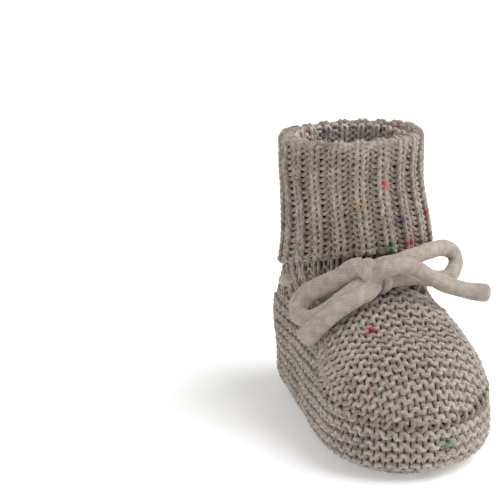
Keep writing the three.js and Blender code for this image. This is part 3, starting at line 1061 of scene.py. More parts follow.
@dataclass
class SideBand(Panel):
    """Garter rows that run round the foot, parallel to the ground, from the heel seam to the heel seam."""

    edge: float = 0.12
    low: float = 3.3 * MM
    lining_low: float = 0.6 * MM
    columns: int = field(init=False)
    table: tuple[Array, Array] = field(init=False)

    def __post_init__(self) -> None:
        """Measures the way round the foot where it is widest."""
        angles = np.linspace(-pi, pi, 721)
        length = along(self.form.point(angles, self.form.bulge_height))
        self.columns = 2 * int(round(length[-1] / self.gauge.width / 2))
        self.table = (length / length[-1] * self.columns, angles)

    def angle(self, across: Array) -> Array:
        """Returns the angle round from the front of a place along a row."""
        return np.interp(across, *self.table)

    def rows(self) -> Iterable[tuple[int, float, float]]:
        """Lays rows from the sole to the highest place of the upper edge.

        Yields:
            Each row's number, and the first and last place along it in stitches.
        """
        highest = self.form.side_top(self.form.seam_end_y)
        for number in range(int((highest - self.low) / self.gauge.height)):
            yield number, self.edge, self.columns - self.edge

    def place(self, number: int, across: Array, up: Array) -> tuple[Array, Array]:
        """Finds places in a row on the form.

        Args:
            number: The row's number.
            across: Place along the row, in stitches.
            up: Place up the panel, in rows.

        Returns:
            The points and the outward directions there.
        """
        z = self.low + (up + 0.5) * self.gauge.height
        points = self.form.point(self.angle(across), z)
        return points, self.form.normal(points)

    def covers(self, points: Array) -> Array:
        """Returns which points are below the upper edge."""
        return points[:, 2] < self.form.side_top(points[:, 1]) - self.seam_room

    def lining_grid(self) -> tuple[Array, Array]:
        """Lays a grid over the panel.

        Returns:
            Its surface points and their outward directions.
        """
        angles = self.angle(np.linspace(self.lining_edge, self.columns - self.lining_edge, 241))
        top = self.form.height_on(self.form.side_top, angles, self.form.bulge_height)
        z = mix(self.lining_low, top[None], np.linspace(0, 1, 17)[:, None])
        points = self.form.point(angles[None], z)
        return points, self.form.normal(points)


@dataclass
class Vamp(Panel):
    """Garter rows across the top of the foot, from the toe to the eyelet band."""

    tilt_toe: float = radians(42)
    tilt_ankle: float = radians(112)
    root: float = 22 * MM
    centre: Point = (0.0, -20 * MM, 12 * MM)
    farthest: float = 46 * MM
    looked_through: tuple[float, float] = (8, 128)
    tilt_ease: float = 0.85
    reach: float = 48 * MM
    half_turn: float = radians(120)
    band_room: float = 0.2 * MM
    lining_ends: tuple[float, float] = (0.4 * MM, 0.2 * MM)
    profile: tuple[Array, Array] = field(init=False)

    def __post_init__(self) -> None:
        """Measures the middle line of the vamp, from the toe seam up to the ankle."""
        angles = np.radians(np.linspace(*self.looked_through, 400))
        directions = np.stack([0 * angles, -np.cos(angles), np.sin(angles)], -1)
        starts = np.broadcast_to(np.array(self.centre), directions.shape)
        line = self.form.hit(starts, directions, self.farthest)
        line = line[next(iter(runs(self.over(line) & self.under(line), 2)))]
        self.profile = (along(line), line)

    def over(self, points: Array, margin: float = 0.0) -> Array:
        """Returns which points are above the seam."""
        return points[..., 2] > self.form.vamp_line(points[..., 1]) + margin

    def under(self, points: Array, margin: float = 0.0) -> Array:
        """Returns which points are below the eyelet band."""
        return points[..., 2] < self.form.band_line(points[..., 1]) - self.form.band_half - margin

    def spot(self, distance: Array) -> tuple[Array, Array, Array]:
        """Finds where a row's plane lies.

        Args:
            distance: Distance along the middle line from the toe seam.

        Returns:
            The middle point, the plane's forward direction and the point inside that rays start from.
        """
        lengths, line = self.profile
        middle = np.stack([np.interp(distance, lengths, line[:, i]) for i in range(3)], -1)
        middle += np.array([0.0, 0.1, 1.0]) * np.minimum(distance, 0)[..., None]
        share = np.clip(distance / lengths[-1], 0, 1) ** self.tilt_ease
        tilt = mix(self.tilt_toe, self.tilt_ankle, share)
        forward = np.stack([0 * tilt, -np.cos(tilt), np.sin(tilt)], -1)
        return middle, forward, middle - self.root * forward

    def sweep(self, distance: Array, turn: Array) -> Array:
        """Finds surface points in the plane of a row.

        Args:
            distance: Distance of the row along the middle line from the toe seam.
            turn: Radians turned from its middle.

        Returns:
            The points.
        """
        _, forward, start = self.spot(distance)
        side = np.array([1.0, 0.0, 0.0])
        directions = np.cos(turn)[..., None] * forward + np.sin(turn)[..., None] * side
        return self.form.hit(start, directions, 1.6 * self.root)

    def rows(self) -> Iterable[tuple[int, float, float]]:
        """Lays rows from the toe to the ankle, each measured from the middle to both sides.

        Yields:
            Each row's number, and the first and last place along it in stitches.
        """
        for number in range(int(self.profile[0][-1] / self.gauge.height) + 3):
            half = float(int(self.reach / self.gauge.width))
            yield number, -half, half

    def place(self, number: int, across: Array, up: Array) -> tuple[Array, Array]:
        """Finds places in a row on the form.

        Args:
            number: The row's number.
            across: Place along the row, in stitches.
            up: Place up the panel, in rows.

        Returns:
            The points and the outward directions there.
        """
        turns = np.linspace(0, self.half_turn, 121)
        middle = np.full(turns.shape, (number + 0.5) * self.gauge.height)
        length = along(self.sweep(middle, turns)) / self.gauge.width
        turn = np.sign(across) * np.interp(np.abs(across), length, turns)
        points = self.sweep((up + 0.5) * self.gauge.height, turn)
        return points, self.form.normal(points)

    def covers(self, points: Array) -> Array:
        """Returns which points are above the seam and below the eyelet band."""
        inside = self.over(points, self.seam_room) & self.under(points, self.band_room)
        return inside & (points[:, 1] < self.form.seam_end_y) & (points[:, 2] > self.form.seam_toe)

    def lining_grid(self) -> tuple[Array, Array]:
        """Lays a grid over the panel.

        Returns:
            Its surface points and their outward directions.
        """
        first, last = self.lining_ends
        distances = np.linspace(first, self.profile[0][-1] - last, 41)[:, None]
        turns = np.linspace(0, self.half_turn, 161)[None]
        grid = self.sweep(*np.broadcast_arrays(distances, turns))
        inside = self.over(grid) & self.under(grid) & (grid[..., 1] < self.form.seam_end_y)
        widest = np.where(inside.all(1), turns[0, -1], turns[0, np.argmin(inside, 1)])
        spread = widest[:, None] * np.linspace(1, -1, 61)[None]
        points = self.sweep(*np.broadcast_arrays(distances, spread))
        return points[::-1], self.form.normal(points)[::-1]


@dataclass
class SoleHalf(Panel):
    """Half of the sole, its garter rows parallel to the seam along the middle."""

    side: int = 1
    inner: float = 1.4 * MM
    widest: float = 24.2 * MM
    rim: float = 3 * MM
    rim_top: float = 3.6 * MM
    seam_room: float = 0.8 * MM
    slant: tuple[float, float] = (0.1, 0.07)
    farthest: float = 0.03
    first_row: float = 0.4
    row_ends: tuple[float, float] = (0.6, 0.3)
    lining_start: float = 0.1 * MM
    lining_end: float = 0.3 * MM
    lining_taper: float = 0.98

    def surface(self, x: Array, y: Array) -> Array:
        """Finds the underside.

        Args:
            x: Place across the foot.
            y: Place along the foot.

        Returns:
            The points there.
        """
        down = np.full(np.shape(x), -self.form.bulge_height)
        out = np.stack([x * self.slant[0], y * self.slant[1], down], -1)
        start = np.stack([x, y, 0 * down], -1) - out
        points = self.form.hit(start, unit(out), self.farthest)
        points[..., 2] = np.maximum(points[..., 2], 0.0)
        return points

    def rows(self) -> Iterable[tuple[int, float, float]]:
        """Lays rows from the middle seam to the outside.

        Yields:
            Each row's number, and the first and last place along it in stitches.
        """
        toe, heel = (corner.y / self.gauge.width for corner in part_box("sole_left_half"))
        for number in range(int(self.widest / self.gauge.height)):
            yield number, toe + self.row_ends[0], heel - self.row_ends[1]

    def place(self, number: int, across: Array, up: Array) -> tuple[Array, Array]:
        """Finds places in a row on the underside.

        Args:
            number: The row's number.
            across: Place along the row, in stitches.
            up: Place up the panel, in rows.

        Returns:
            The points and the outward directions there.
        """
        x = self.side * (self.inner + (up + self.first_row) * self.gauge.height)
        points = self.surface(x, across * self.gauge.width)
        return points, self.facing(points)

    def facing(self, points: Array) -> Array:
        """Returns the outward direction, straight down where the sole is flat."""
        share = smooth(points[..., 2], 0.0, 2 * MM)[..., None]
        return unit(mix(np.array([0.0, 0.0, -1.0]), self.form.normal(points), share))

    def covers(self, points: Array) -> Array:
        """Returns which points are inside the outline."""
        return (points[:, 2] < self.rim_top) & (self.side * points[:, 0] > self.seam_room)

    def lining_grid(self) -> tuple[Array, Array]:
        """Lays a grid over the panel.

        Returns:
            Its surface points and their outward directions.
        """
        lo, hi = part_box("sole_left_half")
        y = np.linspace(lo.y + self.lining_end, hi.y - self.lining_end, 61)
        middle = np.stack([0 * y, y * self.lining_taper, 0 * y + self.rim], -1)
        edge = self.form.hit(middle, np.broadcast_to(np.array([1.0, 0, 0]), middle.shape))
        x = mix(self.lining_start, np.maximum(edge[:, 0], 2 * MM)[:, None], np.linspace(0, 1, 13)[None])
        points = self.surface(self.side * x, np.broadcast_to(y[:, None], x.shape))
        if self.side > 0:
            points = points[:, ::-1]
        return points, self.facing(points)


@dataclass
class Leg(Panel):
    """The ribbed leg, from the eyelet band up to the roll of the cuff."""

    columns: int = 40

    def angle(self, across: Array) -> Array:
        """Returns the angle round from the front of a place along a row."""
        return across / self.columns * 2 * pi - pi

    def rows(self) -> Iterable[tuple[int, float, float]]:
        """Lays rows from the top down, numbered down from zero.

        Yields:
            Each row's number, and the first and last place along it in stitches.
        """
        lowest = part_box("leg_rib")[0].z
        for number in range(int((self.form.leg_top - lowest) / self.gauge.height)):
            yield -number, self.edge, self.columns - self.edge

    def place(self, number: int, across: Array, up: Array) -> tuple[Array, Array]:
        """Finds places in a row on the form.

        Args:
            number: The row's number.
            across: Place along the row, in stitches.
            up: Place up the panel, in rows.

        Returns:
            The points and the outward directions there.
        """
        z = self.form.leg_top + (up - 0.5) * self.gauge.height
        points = self.form.point(self.angle(across), z)
        return points, self.form.normal(points)

    def covers(self, points: Array) -> Array:
        """Returns which points are above the eyelet band."""
        return points[:, 2] > self.form.band_line(points[:, 1]) + self.form.band_half + self.seam_room

    def lining_grid(self) -> tuple[Array, Array]:
        """Lays a grid over the panel.

        Returns:
            Its surface points and their outward directions.
        """
        angles = self.angle(np.linspace(self.lining_edge, self.columns - self.lining_edge, 121))
        middle = self.form.height_on(self.form.band_line, angles, self.form.ankle_height)
        bottom = middle + self.form.band_half
        z = mix(bottom[None], self.form.leg_top, np.linspace(0, 1, 21)[:, None])
        points = self.form.point(angles[None], z)
        return points, self.form.normal(points)


@dataclass
class LegInside(Leg):
    """The inside of the leg's top, where the rib shows again behind the roll."""

    row_count: int = 9

    @property
    def finish(self) -> bpy.types.Material:
        """A paler copy of the wool: painted light, for the lit inside of the leg's top."""
        return self.finishes.inner

    def rows(self) -> Iterable[tuple[int, float, float]]:
        """Yields rows from the top down, numbered down from one."""
        for number in range(self.row_count):
            yield 1 - number, self.edge, self.columns - self.edge

    def place(self, number: int, across: Array, up: Array) -> tuple[Array, Array]:
        """Returns the points and inward directions of places in a row."""
        points, normals = super().place(number, across, up)
        return points - normals * self.form.fabric, -normals

    def covers(self, points: Array) -> Array:
        """Returns every point, as the rows stay far above the eyelet band."""
        return np.ones(len(points), bool)

    def make(self) -> list[bpy.types.Object]:
        """Makes the rows alone, as the leg's lining is behind them.

        Returns:
            The one piece.
        """
        piece = self.knit()
        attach(piece, self.body)
        return [piece]


@dataclass
class EyeletBand(Leg):
    """The band that the tie is laced through: four rows that open round each eyelet."""

    eyelets: tuple[float, ...] = (17, 97, 132, 159)
    hole: float = 1.7 * MM
    spread: float = 6.5
    opening: tuple[float, float] = (0.95, 0.35)
    row_count: int = 4
    heights: tuple[Array, Array] = field(init=False)

    def __post_init__(self) -> None:
        """Finds the height of the lacing line all the way round."""
        angles = np.linspace(-pi, pi, 241)
        self.heights = (angles, self.form.height_on(self.form.band_line, angles, self.form.band_front))

    def rows(self) -> Iterable[tuple[int, float, float]]:
        """Yields the band's rows."""
        for number in range(self.row_count):
            yield number, self.edge, self.columns - self.edge

    def place(self, number: int, across: Array, up: Array) -> tuple[Array, Array]:
        """Finds places in a row; near an eyelet the rows are pushed up and down from the line.

        Args:
            number: The row's number.
            across: Place along the row, in stitches.
            up: Place up the panel, in rows.

        Returns:
            The points and the outward directions there.
        """
        angle = self.angle(across)
        middle = (self.row_count - 1) / 2
        away = np.degrees(np.abs(angle))
        near = sum(np.exp(-(((away - eyelet) / self.spread) ** 2)) for eyelet in self.eyelets)
        opening = self.opening[0] if abs(number - middle) < 1 else self.opening[1]
        offset = (up - middle) * self.gauge.height + np.sign(number - middle) * near * self.hole * opening
        z = np.interp(angle, *self.heights) + offset
        points = self.form.point(angle, z)
        return points, self.form.normal(points)

    def covers(self, points: Array) -> Array:
        """Returns every point, as the rows fill the band."""
        return np.ones(len(points), bool)

    def lining_grid(self) -> tuple[Array, Array]:
        """Lays a grid over the panel.

        Returns:
            Its surface points and their outward directions.
        """
        angles = self.angle(np.linspace(self.lining_edge, self.columns - self.lining_edge, 121))
        edge = np.linspace(-self.form.band_half, self.form.band_half, 7)[:, None]
        points = self.form.point(angles[None], np.interp(angles, *self.heights)[None] + edge)
        return points, self.form.normal(points)


@dataclass
class Cuff(Panel):
    """The ribbed cuff: up from its hem, over the roll and down to the leg's top inside."""

    columns: int = 40
    row_count: int = 26
    hem: tuple[float, float] = (57.5 * MM, 43 * MM)
    room: tuple[float, float, float] = (2.5 * MM, 0.5 * MM, 0.5 * MM)
    depth_extra: float = 1.2 * MM
    hem_shift: float = 2.9 * MM
    rise: float = 1.5 * MM
    crown: float = 0.9 * MM
    shift_fade: float = 6 * MM
    first_row: float = 0.75
    lining_rows: tuple[float, float] = (0.4, 0.2)
    flat_ribs: float = 0.4
    flattening: tuple[int, int] = (14, 20)

    @property
    def radii(self) -> tuple[float, float, float]:
        """The half widths at the hem, halfway up and at the roll."""
        return tuple(self.form.leg_half[0] + self.form.fabric + room for room in self.room)

    @property
    def roll(self) -> float:
        """The radius of the roll at the top."""
        return (self.radii[2] - self.form.leg_half[0] + self.form.fabric) / 2

    @property
    def roll_z(self) -> float:
        """The height of the roll's middle."""
        return float(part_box("cuff")[1].z) - self.roll

    def half_width(self, u: Array) -> Array:
        """Returns the half width a share u of the way up the outside."""
        low, middle, high = self.radii
        return low * (1 - u) * (1 - 2 * u) + 4 * middle * u * (1 - u) + high * u * (2 * u - 1)

    def hem_height(self, angle: Array) -> Array:
        """Finds the hem.

        Args:
            angle: Radians round from the front.

        Returns:
            The hem's height there.
        """
        deep = self.radii[0] + self.depth_extra
        y = self.form.leg_centre_y(self.form.ankle_height) - deep * np.cos(angle)
        return self.form.sloped(*self.hem, y)

    def top(self, angle: Array) -> Array:
        """Returns the height of the roll's middle, a little higher at the front."""
        return self.roll_z + self.crown + self.rise * (1 + np.cos(angle)) / 2

    def ring(self, angle: Array, width: Array, z: Array) -> Array:
        """Finds points of one turn round the cuff; the hem sits a little to the right.

        Args:
            angle: Radians round from the front.
            width: Half width there.
            z: Height.

        Returns:
            The points.
        """
        low = smooth(self.roll_z - z, self.shift_fade, self.roll_z - self.hem[0])
        x = width * np.sin(angle) + self.hem_shift * low
        y = self.form.leg_centre_y(z) - (width + self.depth_extra) * np.cos(angle)
        return np.stack([x, y, z], -1)

    def section(self, angle: Array, climb: Array) -> Array:
        """Finds points on the cuff's outer face.

        Args:
            angle: Radians round from the front.
            climb: 0 at the hem, 1 where the wall meets the roll, and on over the roll in wall lengths.

        Returns:
            The points.
        """
        hem, top = self.hem_height(angle), self.top(angle)
        wall = top - hem
        distance = climb * wall
        u = np.minimum(climb, 1)
        turn = np.clip((distance - wall) / self.roll, 0, pi)
        width = np.where(climb < 1, self.half_width(u), self.radii[2] - self.roll + self.roll * np.cos(turn))
        down = np.maximum(distance - wall - pi * self.roll, 0)
        z = np.where(climb < 1, mix(hem, top, climb), top + self.roll * np.sin(turn) - down)
        return self.ring(angle, width, z)

    def faced(self, angle: Array, climb: Array) -> tuple[Array, Array]:
        """Finds points on the outer face with their directions.

        Args:
            angle: Radians round from the front.
            climb: How far up and over, as in section.

        Returns:
            The points and their outward directions.
        """
        points = self.section(angle, climb)
        step = 1e-3
        round_it = self.section(angle + step, climb) - self.section(angle - step, climb)
        upward = self.section(angle, climb + step) - self.section(angle, climb - step)
        return points, unit(np.cross(round_it, upward))

    def climb(self, angle: Array, row: Array) -> Array:
        """Returns the climb of a row: rows share the whole section evenly at each angle."""
        wall = self.top(angle) - self.hem_height(angle)
        return row / self.row_count * (wall + pi * self.roll + self.rise + self.crown) / wall

    def rows(self) -> Iterable[tuple[int, float, float]]:
        """Yields rows from the hem up and over the roll."""
        for number in range(self.row_count):
            yield number, self.edge, self.columns - self.edge

    def ribs(self, number: int) -> float:
        """Returns how much of the ribs' relief a row keeps: they flatten over the roll."""
        return float(mix(1.0, self.flat_ribs, smooth(number, *self.flattening)))

    def place(self, number: int, across: Array, up: Array) -> tuple[Array, Array]:
        """Returns the points and outward directions of places in a row."""
        angle = across / self.columns * 2 * pi - pi
        return self.faced(angle, self.climb(angle, up + self.first_row))

    def lining_grid(self) -> tuple[Array, Array]:
        """Lays a grid over the panel.

        Returns:
            Its surface points and their outward directions.
        """
        angle = np.linspace(-pi + 0.01, pi - 0.01, 121)[None]
        rows = np.linspace(self.lining_rows[0], self.row_count - self.lining_rows[1], 41)[:, None]
        return self.faced(angle, self.climb(angle, rows))


# ---- seams ---------------------------------------------------------------------------------------
@dataclass
class Seams:
    """The sewn joins, each overcast with a strand of yarn that winds along the two edges."""

    form: BootieForm
    finishes: Finishes
    cuff: Cuff
    yarn: float = 0.68 * MM
    wind: float = 0.85 * MM
    pitch: float = 3.7 * MM
    spread: float = 1.5
    sink: float = 0.6 * MM
    flat_wind: float = 0.5 * MM
    flat_sink: float = 0.7 * MM
    clearance: float = 0.2 * MM
    samples: int = 40
    steps: int = 12
    sides: int = 7

    def overcast(self, name: str, body: str, points: Array, normals: Array) -> bpy.types.Object:
        """Winds a strand along a line on the surface.

        Args:
            name: The CAD node that it stands for.
            body: The body that it rides on.
            points: The line.
            normals: Outward directions along it.

        Returns:
            The seam.
        """
        length = along(points)
        count = int(length[-1] / self.pitch * self.steps)
        even = np.linspace(0, length[-1], count)
        p = np.stack([np.interp(even, length, points[:, i]) for i in range(3)], -1)
        n = unit(np.stack([np.interp(even, length, normals[:, i]) for i in range(3)], -1))
        side = unit(np.cross(unit(np.gradient(p, axis=0)), n))
        turn = 2 * pi * even / self.pitch
        wound = p + self.wind * (self.spread * np.cos(turn)[:, None] * side + np.sin(turn)[:, None] * n)
        wound += n * (self.form.unevenness(p) - self.sink)[:, None]
        maker = MeshMaker(f"{name}_stitching")
        maker.tube(Strand(wound, n, self.yarn), self.sides)
        piece = maker.build(self.finishes.seam)
        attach(piece, body)
        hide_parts(name)
        return piece

    def vamp(self) -> bpy.types.Object:
        """Sews the vamp to the side band, from the eyelet band round the toe and back.

        Returns:
            The seam.
        """
        form = self.form
        angles = np.linspace(-pi, pi, 721)
        z = form.height_on(form.side_top, angles, form.bulge_height)
        points = form.point(angles, z)
        points = points[points[:, 1] < form.seam_end_y - 1 * MM]
        return self.overcast("vamp_seam", "foot", points, form.normal(points))

    def heel(self) -> bpy.types.Object:
        """Sews the two ends of the side band together at the heel.

        Returns:
            The seam.
        """
        lo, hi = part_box("heel_seam")
        z = np.linspace(lo.z - 0.5 * MM, hi.z + 1 * MM, 30)
        points = self.form.point(np.full(len(z), pi), z)
        return self.overcast("heel_seam", "foot", points, self.form.normal(points))

    def leg(self) -> bpy.types.Object:
        """Sews the leg's edges together, inside.

        Returns:
            The seam.
        """
        lo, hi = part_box("leg_seam")
        z = np.linspace(lo.z, hi.z, self.samples)
        points = self.form.point(np.full(self.samples, pi), z)
        normals = self.form.normal(points)
        return self.overcast("leg_seam", "foot", points - normals * self.form.fabric, -normals)

    def sole(self) -> bpy.types.Object:
        """Sews the two halves of the sole together, flatter than the others.

        Returns:
            The seam.
        """
        lo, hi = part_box("sole_seam")
        y = np.linspace(lo.y, hi.y, self.samples)
        points = np.stack([0 * y, y, 0 * y + self.yarn + self.clearance], -1)
        down = np.broadcast_to(np.array([0.0, 0.0, -1.0]), points.shape)
        flat = replace(self, wind=self.flat_wind, sink=self.flat_sink)
        return flat.overcast("sole_seam", "foot", points, down)

    def turned(self) -> bpy.types.Object:
        """Sews the back of the cuff.

        Returns:
            The seam.
        """
        climb = np.linspace(0.02, 1.0, self.samples)
        points, normals = self.cuff.faced(np.full(self.samples, pi), climb)
        return self.overcast("cuff_seam", "turned_cuff", points, normals)

    def make(self) -> list[bpy.types.Object]:
        """Sews every seam and returns them."""
        return [self.vamp(), self.heel(), self.leg(), self.sole(), self.turned()]


# ---- the tie -------------------------------------------------------------------------------------
def in_mm(points: Sequence[Point]) -> list[Point]:
    """Returns points given in millimetres in metres."""
    return [tuple(c * MM for c in p) for p in points]


@dataclass(frozen=True)
class FreeEnd:
    """One loop or tail of the bow."""

    name: str
    body: str
    far_end: str
    width: float
    flat: float
    route: list[Point]


KNOT_STRAND = in_mm([
    (2.4, -1.6, 2.6), (4.2, -2.6, 0.6), (5.4, -2.8, -2.2), (4.6, -1.6, -4.6), (2.6, 0.4, -4.6)])
BOW = (
    FreeEnd("bow_loop_right", "loop_right", "object", 5.7 * MM, 0.78, in_mm([
        (-3.5, -11.0, 56.6), (0.2, -10.7, 57.3), (3.8, -10.2, 57.5), (7.5, -8.9, 57.6), (12, -7, 57.9),
        (17.5, -3.8, 58), (23.5, 1.5, 57), (28.4, 5, 55.8), (31.9, 6, 53.6), (32.4, 4.6, 50.4),
        (28, 0.1, 47.4), (23.8, -1.6, 47.4), (18.2, -4.5, 49.2), (12, -7.7, 51.2), (6.5, -9.9, 52),
        (0.6, -10.6, 52), (-3.0, -10.9, 52.6)])),
    FreeEnd("bow_loop_left", "loop_left", "object", 6.8 * MM, 0.56, in_mm([
        (-7.0, -10.4, 57.0), (-10.1, -9.2, 56.5), (-12.4, -7.8, 54.6), (-15, -5.8, 52.2), (-19.3, -3, 49.6),
        (-23.1, 0.2, 46), (-25.6, 0.4, 42.4), (-25.6, -3.4, 39.9), (-22.4, -8.6, 42.2), (-17.4, -11.6, 46.4),
        (-13, -12.2, 49.8), (-10.1, -12.1, 51.8), (-7.0, -11.6, 53.0)])),
    FreeEnd("tie_tail_right", "tail_right", "bare", 5.4 * MM, 0.78, in_mm([
        (-5.0, -13.6, 55.2), (-2.0, -15.6, 57.2), (1.6, -15.9, 58.2), (5.4, -15.6, 58.2), (10, -15.3, 56),
        (14.6, -15.2, 52.9), (20.2, -14.2, 49.6), (29.2, -13.3, 46), (35.8, -15.2, 45)])),
    FreeEnd("tie_tail_left", "tail_left", "bare", 6.0 * MM, 0.68, in_mm([
        (-4.2, -13.4, 52.4), (-7.4, -15.8, 50.6), (-10, -16.6, 49.8), (-13.6, -17.1, 48.4), (-18, -16.9, 46),
        (-22, -15.8, 42.6), (-25.4, -13.7, 38.8), (-27.8, -11.8, 35)])),
)


@dataclass
class Tie:
    """The jersey tie: the stretch laced through the eyelets, the knot and the four parts of the bow."""

    form: BootieForm
    finishes: Finishes
    band: EyeletBand
    radius: float = 2.3 * MM
    flat: float = 0.8
    lift: float = 0.2 * MM
    gap: float = 0.3 * MM
    ramp: float = 8.0
    ends: tuple[float, float] = (0.4, 359.6)
    facing: Point = (0, -1, 0.35)
    sides: int = 28
    ripples: tuple[tuple[float, float], ...] = ((0.035, 4.1 * MM), (0.03, 1.9 * MM))
    flare: float = 0.18
    flare_length: float = 9 * MM
    round_length: float = 1.8 * MM
    tip: float = 0.6
    strap_lean: float = 0.45
    strap_half: float = 3.4 * MM
    strap_flat: float = 0.5
    strap_inset: tuple[float, float] = (0.7 * MM, 0.9 * MM)
    strand_half: float = 1.75 * MM
    strand_flat: float = 0.75

    def frames(self, points: Array, start: Array) -> tuple[Array, Array]:
        """Carries a section's axes along a line without twisting them.

        Args:
            points: The line.
            start: The direction that the flat side faces at its start.

        Returns:
            The axes across the section and out of it, at each point.
        """
        tangent = unit(np.gradient(points, axis=0))
        outward = [unit(start - tangent[0] * (start @ tangent[0]))]
        for t in tangent[1:]:
            outward.append(unit(outward[-1] - t * (outward[-1] @ t)))
        outward = np.array(outward)
        return np.cross(tangent, outward), outward

    def soft_tube(self, name: str, points: Array, facing: Point, seed: int, radius: float,
                  flat: float, end_seen: bool = False) -> MeshMaker:
        """Makes one length of tie.

        Args:
            name: Name of the piece.
            points: Its middle line.
            facing: The direction that the flat side faces at its start.
            seed: Seed of its small unevenness.
            radius: Half its width.
            flat: Thickness over width.
            end_seen: Whether the end is free, and so spreads a little and is rounded.

        Returns:
            The mesh, not built yet.
        """
        length = along(points)
        waves = np.random.default_rng(seed).uniform(0, 2 * pi, len(self.ripples))
        ripple = sum(size * np.sin(length / run + wave) for (size, run), wave in zip(self.ripples, waves))
        width = radius * (1 + ripple)
        if end_seen:
            left = length[-1] - length
            near = np.clip(left / self.round_length, 0, 1)
            width = width * (1 + self.flare - self.flare * smooth(left, 0, self.flare_length))
            width = width * mix(self.tip, 1, np.sqrt(1 - (1 - near) ** 2))
        maker = MeshMaker(name)
        across, outward = self.frames(points, np.array(facing, float))
        maker.tube(Strand(points, outward, width), self.sides, flat, (across, outward))
        return maker

    def lacing_line(self) -> Array:
        """Finds the laced stretch, which dives in and out at the eyelets.

        Returns:
            Its middle line.
        """
        degrees = np.linspace(*self.ends, 361)
        angle = np.radians(degrees)
        away = np.minimum(degrees, 360 - degrees)
        share = np.zeros_like(degrees)
        for i, eyelet in enumerate(self.band.eyelets):
            share += smooth(away, eyelet - self.ramp, eyelet + self.ramp) * (1 if i % 2 == 0 else -1)
        inside = -self.form.fabric - self.radius - 2 * self.gap
        z = self.form.height_on(self.form.band_line, angle, self.form.band_front)
        points = self.form.point(angle, z)
        return points + self.form.normal(points) * mix(self.lift, inside, share)[:, None]

    def lacing(self) -> bpy.types.Object:
        """Makes the laced stretch.

        Returns:
            The piece.
        """
        line = self.lacing_line()
        maker = self.soft_tube("tie_lacing_jersey", line, (0, -1, 0.3), 71, self.radius, self.flat)
        return self.settle(maker, "tie_lacing", "foot")

    def settle(self, maker: MeshMaker, node: str, body: str) -> bpy.types.Object:
        """Builds a piece of the tie and ties it to the frame.

        Args:
            maker: The mesh.
            node: The CAD node that it stands for.
            body: The body that it rides on.

        Returns:
            The piece.
        """
        piece = maker.build(self.finishes.jersey)
        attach(piece, body)
        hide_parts(node)
        return piece

    def knot(self) -> bpy.types.Object:
        """Makes the knot: a broad strap round the middle and a short strand across it.

        Returns:
            The piece.
        """
        lo, hi = (np.array(corner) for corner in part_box("bow_knot"))
        centre, half = (lo + hi) / 2, (hi - lo) / 2
        turn = np.linspace(0, 2 * pi, 49)
        deep, high = half[1] - self.strap_inset[0], half[2] - self.strap_inset[1]
        size = np.array([-self.strap_lean * half[2], deep, high])
        strap = np.stack([np.sin(turn), np.cos(turn), np.sin(turn)], -1) * size + centre
        maker = MeshMaker("bow_knot_jersey")
        maker.tube(Strand(strap, unit(strap - centre), self.strap_half), self.sides, self.strap_flat)
        strand = catmull_rom([tuple(centre + np.array(p)) for p in KNOT_STRAND], 8)
        across, outward = self.frames(strand, np.array([0.3, -1.0, 0.2]))
        line = Strand(strand, outward, self.strand_half)
        maker.tube(line, self.sides, self.strand_flat, (across, outward))
        return self.settle(maker, "bow_knot", "foot")

    def free_end(self, part: FreeEnd, seed: int) -> bpy.types.Object:
        """Makes a loop or tail.

        Args:
            part: Its name, body, far end and route.
            seed: Seed of its small unevenness.

        Returns:
            The piece.
        """
        line = catmull_rom(part.route, 10)
        maker = self.soft_tube(f"{part.name}_jersey", line, self.facing, seed, part.width / 2, part.flat,
                               part.far_end == "bare")
        piece = self.settle(maker, part.name, part.body)
        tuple(part.route[0])
        float(along(line)[-1])
        2 * self.radius
        return piece

    def make(self) -> list[bpy.types.Object]:
        """Makes the whole tie and returns its pieces."""
        return [self.lacing(), self.knot()] + [self.free_end(part, 80 + i) for i, part in enumerate(BOW)]


# ---- studio --------------------------------------------------------------------------------------
@dataclass(frozen=True)
class Sun:
    """A soft light from far away: where it comes from, how wide it looks, and its strength and colour."""

    name: str
    towards: Point
    width: float
    strength: float
    colour: Point = (1, 1, 1)

    def shine(self) -> None:
        """Adds the light to the scene."""
        data = bpy.data.lights.new(self.name, "SUN")
        data.angle = self.width
        data.energy = self.strength
        data.color = self.colour
        light = bpy.data.objects.new(self.name, data)
        light.rotation_euler = (-Vector(self.towards)).to_track_quat("-Z", "Y").to_euler()
        bpy.context.scene.collection.objects.link(light)


